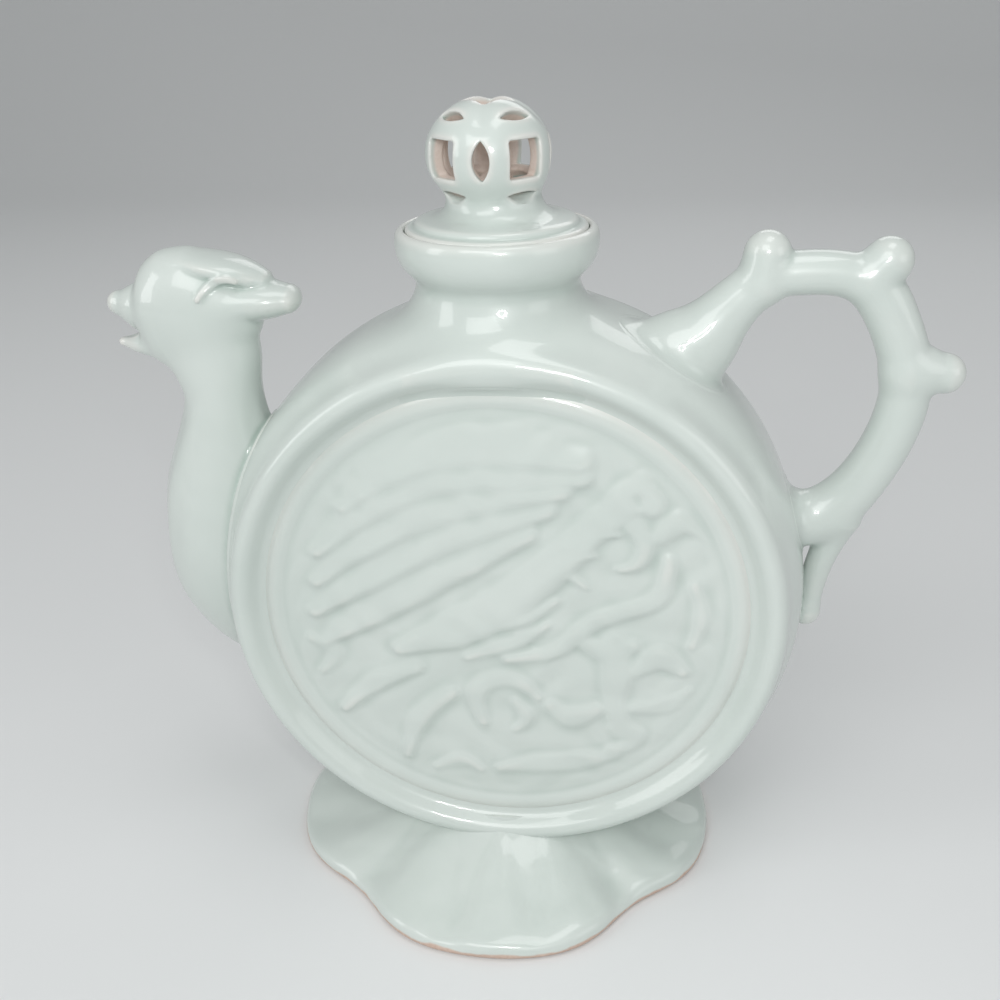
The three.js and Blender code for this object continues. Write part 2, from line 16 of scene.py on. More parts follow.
import bpy
import numpy as np
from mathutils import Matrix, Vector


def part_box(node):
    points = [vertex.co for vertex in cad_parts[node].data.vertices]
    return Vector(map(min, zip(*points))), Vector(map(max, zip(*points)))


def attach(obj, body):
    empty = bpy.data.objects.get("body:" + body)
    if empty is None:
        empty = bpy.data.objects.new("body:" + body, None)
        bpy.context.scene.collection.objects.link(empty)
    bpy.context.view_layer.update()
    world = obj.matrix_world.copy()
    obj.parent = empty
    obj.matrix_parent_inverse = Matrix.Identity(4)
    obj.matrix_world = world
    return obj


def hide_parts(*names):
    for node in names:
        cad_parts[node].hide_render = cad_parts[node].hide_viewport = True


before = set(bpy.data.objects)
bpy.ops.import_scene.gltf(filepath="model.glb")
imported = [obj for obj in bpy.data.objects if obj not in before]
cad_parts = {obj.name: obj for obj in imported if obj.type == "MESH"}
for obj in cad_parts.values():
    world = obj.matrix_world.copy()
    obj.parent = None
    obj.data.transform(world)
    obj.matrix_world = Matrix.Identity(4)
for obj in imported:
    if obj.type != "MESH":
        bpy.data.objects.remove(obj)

import openvdb
from mathutils import Matrix, Vector

log = logging.getLogger("teapot")

Array = np.ndarray
Field = Callable[[Array], Array]
Pair = tuple[float, float]
Triple = tuple[float, float, float]
Colour = tuple[float, float, float, float]
Station = tuple[float, float, float, float]
Tree = bpy.types.NodeTree
Node = bpy.types.Node
Socket = bpy.types.NodeSocket

MILLIMETRE = 0.001
FAR = 40.0
CREASE_DEGREES = 50.0
BALL_LEAN = 1.5
BALL_HEIGHT = 197.8
BALL_FLATTENING = 0.89


class Body(Enum):
    """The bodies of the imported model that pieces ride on."""

    POT = "pot"
    LID = "lid"


class Side(Enum):
    """The two faces of the flask, by the sign of their Y."""

    FRONT = -1
    BACK = 1


# Fields and the curves that they are drawn from.


def smooth_union(a: Array, b: Array, blend: float) -> Array:
    """Joins two fields with a fillet.

    Args:
        a: Distances to the first form.
        b: Distances to the second form.
        blend: Reach of the fillet.

    Returns:
        Distances to the joined form.
    """
    reach = np.maximum(blend - np.abs(a - b), 0.0) / blend
    return np.minimum(a, b) - reach**3 * blend / 6


def smooth_cut(a: Array, cutter: Array, blend: float) -> Array:
    """Takes a cutter away from a form, with rounded edges of that reach."""
    return -smooth_union(-a, cutter, blend)


def smooth_overlap(a: Array, b: Array, blend: float) -> Array:
    """Keeps what two forms share, with rounded edges of that reach."""
    return -smooth_union(-a, -b, blend)


def fade(value: Array, start: float, end: float) -> Array:
    """Smooth step from 0 at start to 1 at end."""
    share = np.clip((value - start) / (end - start), 0.0, 1.0)
    return share * share * (3 - 2 * share)


def spline(stations: Sequence[Sequence[float]], spacing: float) -> Array:
    """Runs a smooth curve through stations.

    Args:
        stations: Rows whose first two numbers are a place; the others are carried along.
        spacing: Distance between points on the curve.

    Returns:
        Evenly spaced rows on the curve.
    """
    rows = np.array(stations, float)
    knots = np.concatenate([[0], np.cumsum(np.linalg.norm(np.diff(rows[:, :2], axis=0), axis=1) ** 0.5)])
    count, gaps = len(rows), np.diff(knots)
    matrix, wanted = np.eye(count), np.zeros_like(rows)
    for i in range(1, count - 1):
        matrix[i, i - 1 : i + 2] = gaps[i - 1], 2 * (gaps[i - 1] + gaps[i]), gaps[i]
        wanted[i] = 6 * ((rows[i + 1] - rows[i]) / gaps[i] - (rows[i] - rows[i - 1]) / gaps[i - 1])
    bend = np.linalg.solve(matrix, wanted)
    t = np.linspace(0, knots[-1], 3000)
    k = np.clip(np.searchsorted(knots, t, "right") - 1, 0, count - 2)
    after, before, gap = (knots[k + 1] - t)[:, None], (t - knots[k])[:, None], gaps[k][:, None]
    curve = (
        (bend[k] * after**3 + bend[k + 1] * before**3) / (6 * gap)
        + (rows[k] / gap - bend[k] * gap / 6) * after
        + (rows[k + 1] / gap - bend[k + 1] * gap / 6) * before
    )
    length = np.concatenate([[0], np.cumsum(np.linalg.norm(np.diff(curve[:, :2], axis=0), axis=1))])
    even = np.linspace(0, length[-1], max(2, round(length[-1] / spacing) + 1))
    return np.column_stack([np.interp(even, length, column) for column in curve.T])


def joined_runs(runs: Sequence[Sequence[Sequence[float]]], spacing: float) -> Array:
    """Smooth runs that follow each other, with a corner between one run and the next."""
    drawn = [spline(run, spacing) for run in runs]
    return np.concatenate([run[:-1] for run in drawn[:-1]] + [drawn[-1]])


class Run:
    """A dense, evenly spaced run of points in a plane, whose nearest point is looked up in a table."""

    def __init__(self, rows: Array, closed: bool = False, cell: float = 1.0, margin: float = 14.0) -> None:
        """Makes the table.

        Args:
            rows: Evenly spaced rows; the first two numbers are a place, the others are carried along.
            closed: Whether the last point leads back to the first.
            cell: Width of the table's cells.
            margin: How far the table reaches past the run.
        """
        if closed and np.allclose(rows[0], rows[-1]):
            rows = rows[:-1]
        self.rows, self.closed, self.count = rows, closed, len(rows)
        self.places = rows[:, :2]
        ring = np.concatenate([rows[-1:], rows, rows[:1]]) if closed else rows
        slopes = np.gradient(ring, axis=0)
        self.slopes = slopes[1:-1] if closed else slopes
        steps = np.linalg.norm(self.slopes[:, :2], axis=1)
        self.tangents = self.slopes[:, :2] / np.maximum(steps, 1e-9)[:, None]
        self.spacing = float(np.median(steps))
        self.cell, self.low = cell, self.places.min(0) - margin
        self.shape = np.ceil((self.places.max(0) + margin - self.low) / cell).astype(int)
        across = self.low[0] + (np.arange(self.shape[0]) + 0.5) * cell
        up = self.low[1] + (np.arange(self.shape[1]) + 0.5) * cell
        height = (up[:, None] - self.places[None, :, 1]) ** 2
        self.table = np.array([np.argmin((x - self.places[:, 0]) ** 2 + height, axis=1) for x in across])

    def locate(self, spots: Array) -> tuple[Array, Array, Array]:
        """Finds the nearest point of the run to each spot.

        Args:
            spots: Places in the run's plane.

        Returns:
            Index of the point, distance past it along the run, and distance to its left.
        """
        cells = np.clip(((spots - self.low) / self.cell).astype(int), 0, self.shape - 1)
        index = self.table[cells[:, 0], cells[:, 1]]
        most = math.ceil(1.5 * self.cell / self.spacing)
        for _ in range(2):
            along = ((spots - self.places[index]) * self.tangents[index]).sum(1)
            shift = np.clip(np.rint(along / self.spacing), -most, most).astype(int)
            index = (index + shift) % self.count if self.closed else np.clip(index + shift, 0, self.count - 1)
        offset, tangent = spots - self.places[index], self.tangents[index]
        along = (offset * tangent).sum(1)
        left = offset[:, 1] * tangent[:, 0] - offset[:, 0] * tangent[:, 1]
        return index, along, left


class Outline:
    """A closed outline in a plane, as a field that is negative inside."""

    def __init__(self, runs: Sequence[Sequence[Pair]], spacing: float = 0.1, cell: float = 0.4) -> None:
        """Draws the outline from smooth runs with corners between them."""
        rows = joined_runs(runs, spacing)
        x, z = rows[:, 0], rows[:, 1]
        if np.sum(x * np.roll(z, -1) - z * np.roll(x, -1)) < 0:
            rows = rows[::-1]
        self.run = Run(rows, closed=True, cell=cell)

    def __call__(self, spots: Array) -> Array:
        """Distances from the outline in its plane."""
        _, along, left = self.run.locate(spots)
        stray = np.where(np.abs(along) > self.run.spacing, along, 0.0)
        return -np.sign(left) * np.hypot(left, stray)


class Rod:
    """A rod of changing oval section, along a smooth line in the plane of spout and handle."""

    def __init__(self, stations: Sequence[Station], reach: float = 12.0) -> None:
        """Draws the rod.

        Args:
            stations: x, z, half height and half depth at each station.
            reach: Distance past which the rod is simply far away.
        """
        self.run = Run(spline(stations, 0.3))
        girth = self.run.rows[:, 2:].max() + reach
        (x0, z0), (x1, z1) = self.run.places.min(0), self.run.places.max(0)
        self.low = np.array([x0 - girth, -girth, z0 - girth])
        self.high = np.array([x1 + girth, girth, z1 + girth])

    def __call__(self, p: Array) -> Array:
        """Distances from the rod."""
        out = np.full(len(p), FAR)
        near = np.flatnonzero(((p > self.low) & (p < self.high)).all(1))
        if len(near) == 0:
            return out
        q = p[near]
        index, along, side = self.run.locate(q[:, [0, 2]])
        rows, slopes = self.run.rows[index], self.run.slopes[index]
        share = np.clip(along / self.run.spacing, -1, 1)
        high, deep = (rows[:, k] + slopes[:, k] * share for k in (2, 3))
        ends = ((index == 0) & (along < 0)) | ((index == self.run.count - 1) & (along > 0))
        past, cap = np.where(ends, along, 0.0), np.minimum(high, deep)
        ratio = np.sqrt((side / high) ** 2 + (q[:, 1] / deep) ** 2 + (past / cap) ** 2)
        slope = np.sqrt((side / high**2) ** 2 + (q[:, 1] / deep**2) ** 2 + (past / cap**2) ** 2)
        out[near] = ratio * (ratio - 1) / np.maximum(slope, 1e-6)
        return out


def slopes_of(form: Field, points: Array, step: float = 0.05) -> Array:
    """Gradient of a field at points, by central differences."""
    shifts = np.eye(3) * step
    return np.column_stack([(form(points + s) - form(points - s)) / (2 * step) for s in shifts])


def surface_of(form: Field, low: Sequence[float], high: Sequence[float], voxel: float) -> tuple[Array, Array]:
    """Skins a field.

    Args:
        form: The field, negative inside.
        low: Lowest corner of the space to look in.
        high: Highest corner of that space.
        voxel: Distance between samples, about the length of an edge of the mesh.

    Returns:
        Points on the surface, and quads of their indices, facing outwards.
    """
    block = 4
    floor, span = np.array(low, float), np.array(high, float) - np.array(low, float)
    counts = np.ceil(span / (voxel * block)).astype(int)
    corners = np.stack(np.meshgrid(*[np.arange(n) for n in counts], indexing="ij"), -1).reshape(-1, 3) * block
    rough = form(floor + (corners + (block - 1) / 2) * voxel)
    grid = rough.reshape(counts).astype(np.float32)
    for axis in range(3):
        grid = np.repeat(grid, block, axis)
    live = corners[np.abs(rough) < voxel * (block * 1.2 + 1)]
    steps = np.stack(np.meshgrid(*[np.arange(block)] * 3, indexing="ij"), -1).reshape(-1, 3)
    cells = (live[:, None, :] + steps[None]).reshape(-1, 3)
    grid[cells[:, 0], cells[:, 1], cells[:, 2]] = form(floor + cells * voxel)
    volume = openvdb.FloatGrid(background=FAR)
    volume.copyFromArray(grid)
    found, _, quads = volume.convertToPolygons(isovalue=0.0, adaptivity=0.0)
    points = floor + np.array(found, float) * voxel
    for _ in range(2):
        slope = slopes_of(form, points)
        move = form(points)[:, None] * slope / np.maximum((slope**2).sum(1), 0.1)[:, None]
        length = np.maximum(np.linalg.norm(move, axis=1), 1e-9)
        points = points - move * np.minimum(1.0, 0.6 * voxel / length)[:, None]
    return points, np.array(quads, int)


# Meshes.


def pot_axis() -> Vector:
    """Where the pot's own upright axis stands in the frame, midway across the lid."""
    low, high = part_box("lid_disc")
    return Vector(((low.x + high.x) / 2, 0, 0))


def mesh_from(name: str, points: Array, faces: Array) -> bpy.types.Mesh:
    """Makes a mesh, still in millimetres, from points and faces of one size.

    Args:
        name: Name of the mesh.
        points: Places of the vertices.
        faces: Rows of indices, all triangles or all quads.

    Returns:
        The mesh.
    """
    mesh = bpy.data.meshes.new(name)
    mesh.vertices.add(len(points))
    mesh.vertices.foreach_set("co", points.astype(np.float32).ravel())
    mesh.loops.add(faces.size)
    mesh.loops.foreach_set("vertex_index", faces.astype(np.int32).ravel())
    mesh.polygons.add(len(faces))
    mesh.polygons.foreach_set("loop_start", np.arange(0, faces.size, faces.shape[1], dtype=np.int32))
    mesh.update(calc_edges=True)
    mesh.validate()
    return mesh


def points_of(mesh: bpy.types.Mesh) -> Array:
    """Places of a mesh's vertices."""
    flat = np.empty(len(mesh.vertices) * 3, np.float32)
    mesh.vertices.foreach_get("co", flat)
    return flat.reshape(-1, 3).astype(float)


def face_outwards(mesh: bpy.types.Mesh) -> None:
    """Turns every face over where the mesh encloses a negative volume."""
    mesh.calc_loop_triangles()
    flat = np.empty(len(mesh.loop_triangles) * 3, np.int32)
    mesh.loop_triangles.foreach_get("vertices", flat)
    a, b, c = points_of(mesh)[flat.reshape(-1, 3)].transpose(1, 0, 2)
    if (a * np.cross(b, c)).sum() < 0:
        mesh.flip_normals()


def pool_depth(mesh: bpy.types.Mesh, reach: float = 1.1) -> Array:
    """How the glaze lies at each vertex: above 0 where a ridge thins it, below 0 where it pools.

    Args:
        mesh: The mesh, in millimetres.
        reach: Distance over which the glaze levels itself.

    Returns:
        Mean curvature at each vertex, per millimetre, evened out over the reach.
    """
    points, count = points_of(mesh), len(mesh.vertices)
    flat = np.empty(len(mesh.edges) * 2, np.int32)
    mesh.edges.foreach_get("vertices", flat)
    a, b = flat.reshape(-1, 2).T
    normals = np.empty(count * 3, np.float32)
    mesh.vertex_normals.foreach_get("vector", normals)
    normals = normals.reshape(-1, 3)
    edge = points[a] - points[b]
    square = (edge**2).sum(1)
    lift = np.bincount(a, (edge * normals[a]).sum(1), count)
    lift -= np.bincount(b, (edge * normals[b]).sum(1), count)
    weight = np.bincount(a, square, count) + np.bincount(b, square, count)
    bend = 2 * lift / np.maximum(weight, 1e-9)
    rounds = int(np.clip(2 * reach**2 / max(np.median(square), 1e-6), 1, 40))
    links = np.maximum(np.bincount(a, minlength=count) + np.bincount(b, minlength=count), 1)
    bend = np.clip(bend, -1.5, 1.5)
    for _ in range(rounds):
        near = np.bincount(a, bend[b], count) + np.bincount(b, bend[a], count)
        bend = (bend + near / links) / 2
    return bend


# Nodes, shared by the materials and the geometry trees.


def add_node(tree: Tree, kind: str, settings: dict | None = None, inputs: dict | None = None) -> Node:
    """Adds a node with its settings, values and links.

    Args:
        tree: The tree that it joins.
        kind: The node's type, by its full name.
        settings: Values for the node's own settings, by name.
        inputs: A value, an output socket or a list of output sockets for each input, by name or place.

    Returns:
        The node.
    """
    made = tree.nodes.new(kind)
    for name, value in (settings or {}).items():
        setattr(made, name, value)
    for key, value in (inputs or {}).items():
        for item in value if isinstance(value, list) else [value]:
            if isinstance(item, Socket):
                tree.links.new(item, made.inputs[key])
            else:
                made.inputs[key].default_value = item
    return made


class Clay:
    """A geometry tree with named inputs, run once on a mesh."""

    KINDS = {int: "NodeSocketInt", float: "NodeSocketFloat", tuple: "NodeSocketVector"}

    def __init__(self, name: str, **sizes: int | float | Triple) -> None:
        """Opens a tree with a geometry, a finish and one input for each size."""
        self.tree = bpy.data.node_groups.new(name, "GeometryNodeTree")
        self.values = sizes
        for title, kind in [("Geometry", "NodeSocketGeometry"), ("Finish", "NodeSocketMaterial")]:
            self.tree.interface.new_socket(title, in_out="INPUT", socket_type=kind)
        for title, value in sizes.items():
            self.tree.interface.new_socket(title, in_out="INPUT", socket_type=self.KINDS[type(value)])
        self.tree.interface.new_socket("Geometry", in_out="OUTPUT", socket_type="NodeSocketGeometry")
        self.given = self.tree.nodes.new("NodeGroupInput").outputs

    def add(self, kind: str, settings: dict | None = None, inputs: dict | None = None) -> Node:
        """Adds a node to the tree."""
        return add_node(self.tree, kind, settings, inputs)

    def math(self, operation: str, *values: float | Socket) -> Socket:
        """The result of one sum on numbers."""
        return self.add("ShaderNodeMath", {"operation": operation}, dict(enumerate(values))).outputs[0]

    def product(self, first: Socket, *others: float | Socket) -> Socket:
        """All the factors multiplied together."""
        for factor in others:
            first = self.math("MULTIPLY", first, factor)
        return first

    def carried(self, name: str) -> Socket:
        """A value that each point of the given profile carries along."""
        return self.add("GeometryNodeInputNamedAttribute", None, {"Name": name}).outputs["Attribute"]

    def noise(self, place: Socket, scale: Socket, detail: float, roughness: float) -> Socket:
        """Soft noise at a place, from 0 to 1, the same in every run."""
        sizes = {"Vector": place, "Scale": scale, "Detail": detail, "Roughness": roughness}
        return self.add("ShaderNodeTexNoise", None, sizes).outputs["Fac"]

    def sweep(self) -> Socket:
        """The given profile, swept round a wheel of the given radius."""
        profile = self.add("GeometryNodeMeshToCurve", None, {"Mesh": self.given["Geometry"]})
        round_sizes = {"Resolution": self.given["Segments"], "Radius": self.given["Path"]}
        wheel = self.add("GeometryNodeCurvePrimitiveCircle", None, round_sizes)
        curves = {"Curve": wheel.outputs["Curve"], "Profile Curve": profile.outputs["Curve"]}
        return self.add("GeometryNodeCurveToMesh", None, curves).outputs["Mesh"]

    def close(self, geometry: Socket) -> None:
        """Ends the tree: smooth shading, real geometry and the finish."""
        smooth = self.add("GeometryNodeSetShadeSmooth", None, {"Geometry": geometry})
        real = self.add("GeometryNodeRealizeInstances", None, {"Geometry": smooth.outputs[0]})
        finish = {"Geometry": real.outputs[0], "Material": self.given["Finish"]}
        finished = self.add("GeometryNodeSetMaterial", None, finish)
        self.add("NodeGroupOutput", None, {"Geometry": finished.outputs[0]})

    def run(self, mesh: bpy.types.Mesh, finish: bpy.types.Material) -> bpy.types.Mesh:
        """Runs the tree on a mesh.

        Args:
            mesh: What the tree is given.
            finish: The material that the result gets.

        Returns:
            The result as a plain mesh.
        """
        holder = bpy.data.objects.new(self.tree.name, mesh)
        bpy.context.scene.collection.objects.link(holder)
        modifier = holder.modifiers.new(self.tree.name, "NODES")
        modifier.node_group = self.tree
        given = {**self.values, "Finish": finish}
        for socket in self.tree.interface.items_tree:
            if socket.in_out == "INPUT" and socket.name in given:
                modifier[socket.identifier] = given[socket.name]
        evaluated = holder.evaluated_get(bpy.context.evaluated_depsgraph_get())
        made = bpy.data.meshes.new_from_object(evaluated)
        bpy.data.objects.remove(holder)
        face_outwards(made)
        return made


def turned(
    name: str,
    runs: list[Array],
    finish: bpy.types.Material,
    segments: int,
    turn: Triple = (0.0, 0.0, 0.0),
    lift: Triple = (0.0, 0.0, 0.0),
    closed: bool = True,
) -> bpy.types.Mesh:
    """Throws profiles round an axis.

    Args:
        name: Name of the tree.
        runs: Profiles as rows of radius and height.
        finish: The material that the result gets.
        segments: How many facets go round.
        turn: Rotation of the finished form, in radians.
        lift: Shift of the finished form.
        closed: Whether each profile's last point leads back to its first.

    Returns:
        The turned mesh.
    """
    path = 1.0
    clay = Clay(name, Segments=segments, Path=path, Turn=turn, Lift=lift, Weld=0.002)
    given, sweep = clay.given, clay.sweep()
    welded = clay.add("GeometryNodeMergeByDistance", None, {"Geometry": sweep, "Distance": given["Weld"]})
    place = {"Geometry": welded.outputs[0], "Rotation": given["Turn"], "Translation": given["Lift"]}
    clay.close(clay.add("GeometryNodeTransform", None, place).outputs[0])
    points, edges = [], []
    for run in runs:
        first, count = len(points), len(run)
        points += [(r - path, -z, 0.0) for r, z in run]
        edges += [(first + i, first + i + 1) for i in range(count - 1)]
        if closed:
            edges.append((first + count - 1, first))
    mesh = bpy.data.meshes.new(name)
    mesh.from_pydata(points, edges, [])
    return clay.run(mesh, finish)


def thinned(rows: Array, turn: float, most: float) -> Array:
    """Drops points of a dense profile where it hardly bends.

    Args:
        rows: Dense rows of radius and height.
        turn: Bend that may add up between points, in degrees.
        most: Longest step between points.

    Returns:
        The rows that stay, with both ends.
    """
    steps = np.diff(rows, axis=0)
    heading = np.unwrap(np.arctan2(steps[:, 1], steps[:, 0]))
    kept, bent, run = [0], 0.0, 0.0
    for i in range(1, len(rows) - 1):
        bent += abs(heading[i] - heading[i - 1])
        run += float(np.linalg.norm(steps[i - 1]))
        if bent >= math.radians(turn) or run >= most:
            kept.append(i)
            bent, run = 0.0, 0.0
    return rows[[*kept, len(rows) - 1]]


def settle(
    name: str,
    mesh: bpy.types.Mesh,
    finish: bpy.types.Material,
    body: Body,
    stands_for: Sequence[str],
) -> bpy.types.Object:
    """Finishes a piece and hands it to its body.

    Args:
        name: Name of the piece.
        mesh: Its mesh in millimetres from the pot's axis.
        finish: Its material.
        body: The body that it rides on.
        stands_for: CAD nodes that it replaces.

    Returns:
        The piece.
    """
    pool = pool_depth(mesh)
    layer = mesh.attributes.new("pool", "FLOAT", "POINT")
    layer.data.foreach_set("value", pool.astype(np.float32))
    mesh.transform(Matrix.Translation(pot_axis()) @ Matrix.Scale(MILLIMETRE, 4))
    mesh.materials.clear()
    mesh.materials.append(finish)
    mesh.polygons.foreach_set("use_smooth", np.ones(len(mesh.polygons), bool))
    mesh.set_sharp_from_angle(angle=math.radians(CREASE_DEGREES))
    mesh.update()
    piece = bpy.data.objects.new(name, mesh)
    bpy.context.scene.collection.objects.link(piece)
    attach(piece, body.value)
    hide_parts(*stands_for)
    log.info("%s: %d faces, stands for %s", name, len(mesh.polygons), ", ".join(stands_for))
    return piece


# Finishes.


def linear(hex_colour: str) -> Colour:
    """Linear colour with full alpha from an sRGB hex value."""
    parts = [int(hex_colour[i : i + 2], 16) / 255 for i in (1, 3, 5)]
    red, green, blue = (p / 12.92 if p <= 0.04045 else ((p + 0.055) / 1.055) ** 2.4 for p in parts)
    return red, green, blue, 1.0


class Wiped(Enum):
    """Where the clay shows because no glaze lies on it."""

    NOWHERE = "nowhere"
    FOOT_RIM = "foot_rim"
    INSIDE_BALL = "inside_ball"


@dataclass(frozen=True)
class Celadon:
    """Celadon glaze fired on pale stoneware: glassy and soft, greener where it pools in a hollow,
    and nearly as pale as the clay where it runs thin over an edge. The bare clay's grit is drawn
    coarser than the real one, so that it shows."""

    pooled: str = "#A2B3AA"
    even: str = "#CDD5D0"
    thin: str = "#E0DFDA"
    shaded: str = "#BFCAC4"
    clay: str = "#B99C8B"
    clay_pale: str = "#D6C3B6"
    inside: str = "#D9C9BE"
    inside_pale: str = "#E8DED6"
    cloud_mm: float = 34.0
    ripple_mm: float = 9.0
    grit_mm: float = 0.9
    rim_mm: float = 2.0
    rim_stray_mm: float = 2.4
    rim_wave_mm: float = 9.0
    wiped_edge_mm: float = 0.9
    ball_centre: Triple = (-BALL_LEAN, 0.0, BALL_HEIGHT)
    ball_flattening: float = BALL_FLATTENING
    ball_skin_mm: float = 13.9

    def grain(self, tree: Tree, place: Socket, size_mm: float, detail: float) -> Socket:
        """Noise whose blotches have a real size."""
        sizes = {"Vector": place, "Scale": 1 / (size_mm * MILLIMETRE), "Detail": detail}
        return add_node(tree, "ShaderNodeTexNoise", None, sizes).outputs["Fac"]

    def share_of(self, tree: Tree, value: Socket, low: float, high: float, most: float = 1.0) -> Socket:
        """Runs from 0 to the most as the value runs from low to high."""
        ends = {"Value": value, "From Min": low, "From Max": high, "To Max": most}
        return add_node(tree, "ShaderNodeMapRange", None, ends).outputs[0]

    def mixed(self, tree: Tree, share: Socket, first: Socket | Colour, second: Socket | Colour) -> Socket:
        """One colour passing into another."""
        colours = {0: share, 6: first, 7: second}
        return add_node(tree, "ShaderNodeMix", {"data_type": "RGBA"}, colours).outputs[2]

    def glazed(self, tree: Tree, place: Socket, wiped: Wiped) -> Socket:
        """Share of glaze at a place: 0 on bare clay and 1 under glaze.

        Args:
            tree: The material's tree.
            place: Object coordinates.
            wiped: Where the clay is bare.

        Returns:
            Socket of the share.
        """
        if wiped is Wiped.FOOT_RIM:
            height = add_node(tree, "ShaderNodeSeparateXYZ", None, {0: place}).outputs["Z"]
            stray = self.grain(tree, place, self.rim_wave_mm, 2.0)
            low = (self.rim_mm - self.rim_stray_mm / 2) * MILLIMETRE
            wander = {0: stray, 1: self.rim_stray_mm * MILLIMETRE, 2: low}
            edge = add_node(tree, "ShaderNodeMath", {"operation": "MULTIPLY_ADD"}, wander).outputs[0]
            over = add_node(tree, "ShaderNodeMath", {"operation": "SUBTRACT"}, {0: height, 1: edge})
            return self.share_of(tree, over.outputs[0], -0.2 * MILLIMETRE, 0.3 * MILLIMETRE)
        centre = (pot_axis() + Vector(self.ball_centre) * MILLIMETRE)[:]
        offset = add_node(tree, "ShaderNodeVectorMath", {"operation": "SUBTRACT"}, {0: place, 1: centre})
        rounder = {0: offset.outputs[0], 1: (1.0, 1.0, 1 / self.ball_flattening)}
        even = add_node(tree, "ShaderNodeVectorMath", {"operation": "MULTIPLY"}, rounder).outputs[0]
        away = add_node(tree, "ShaderNodeVectorMath", {"operation": "LENGTH"}, {0: even}).outputs["Value"]
        skin = self.ball_skin_mm * MILLIMETRE
        return self.share_of(tree, away, skin - self.wiped_edge_mm * MILLIMETRE, skin)

    def material(self, name: str, wiped: Wiped = Wiped.NOWHERE) -> bpy.types.Material:
        """Makes the glaze.

        Args:
            name: Name of the material.
            wiped: Where the clay is bare.

        Returns:
            The material.
        """
        made = bpy.data.materials.new(name)
        made.use_nodes = True
        tree = made.node_tree
        tree.nodes.clear()
        place = add_node(tree, "ShaderNodeTexCoord").outputs["Object"]
        pool = add_node(tree, "ShaderNodeAttribute", {"attribute_name": "pool"}).outputs["Fac"]
        ramp = add_node(tree, "ShaderNodeValToRGB", None, {"Fac": self.share_of(tree, pool, -0.36, 0.4)})
        stops = [(0.0, self.pooled), (0.45, self.even), (0.58, self.even), (1.0, self.thin)]
        for _ in stops[2:]:
            ramp.color_ramp.elements.new(0.5)
        for element, (at, colour) in zip(ramp.color_ramp.elements, stops, strict=True):
            element.position, element.color = at, linear(colour)
        clouds = self.grain(tree, place, self.cloud_mm, 3.0)
        shade = self.share_of(tree, clouds, 0.35, 0.7, 0.45)
        toned = self.mixed(tree, shade, ramp.outputs["Color"], linear(self.shaded))
        ripple = self.grain(tree, place, self.ripple_mm, 1.5)
        swell = {"Height": ripple, "Strength": 0.2, "Distance": 0.6 * MILLIMETRE}
        bump = add_node(tree, "ShaderNodeBump", None, swell).outputs[0]
        glass = {"Roughness": 0.34, "IOR": 1.5, "Coat Weight": 0.7, "Coat Roughness": 0.05}
        coat = {"Base Color": toned, **glass, "Normal": bump}
        shader = add_node(tree, "ShaderNodeBsdfPrincipled", None, coat).outputs[0]
        if wiped is not Wiped.NOWHERE:
            glazed = self.glazed(tree, place, wiped)
            grit = self.grain(tree, place, self.grit_mm, 3.0)
            dark, pale = self.inside, self.inside_pale
            if wiped is Wiped.FOOT_RIM:
                dark, pale = self.clay, self.clay_pale
            clay = self.mixed(tree, grit, linear(dark), linear(pale))
            sand = {"Height": grit, "Strength": 0.4, "Distance": 0.1 * MILLIMETRE}
            rough = add_node(tree, "ShaderNodeBump", None, sand).outputs[0]
            bare = {"Base Color": clay, "Roughness": 0.8, "Normal": rough}
            biscuit = add_node(tree, "ShaderNodeBsdfPrincipled", None, bare).outputs[0]
            both = {0: glazed, 1: biscuit, 2: shader}
            shader = add_node(tree, "ShaderNodeMixShader", None, both).outputs[0]
        add_node(tree, "ShaderNodeOutputMaterial", None, {"Surface": shader})
        return made


@dataclass(frozen=True)
class Studio:
    """Matt paper sweep: pale, even and without gloss, so that it only carries the shadow. Its
    fibres are drawn coarser than real ones, so that they show."""

    paper: str = "#DFE1E1"
    tooth_mm: float = 10 / 7

    def material(self) -> bpy.types.Material:
        """Makes the paper."""
        made = bpy.data.materials.new("matt_paper_sweep")
        made.use_nodes = True
        tree = made.node_tree
        tree.nodes.clear()
        place = add_node(tree, "ShaderNodeTexCoord").outputs["Object"]
        tooth = {"Vector": place, "Scale": 1 / (self.tooth_mm * MILLIMETRE), "Detail": 2.0}
        fibres = add_node(tree, "ShaderNodeTexNoise", None, tooth).outputs["Fac"]
        nap = {"Height": fibres, "Strength": 0.05, "Distance": 0.2 * MILLIMETRE}
        bump = add_node(tree, "ShaderNodeBump", None, nap).outputs[0]
        matt = {"Base Color": linear(self.paper), "Roughness": 0.9, "Specular IOR Level": 0.2, "Normal": bump}
        paper = add_node(tree, "ShaderNodeBsdfPrincipled", None, matt).outputs[0]
        add_node(tree, "ShaderNodeOutputMaterial", None, {"Surface": paper})
        return made


# The body.


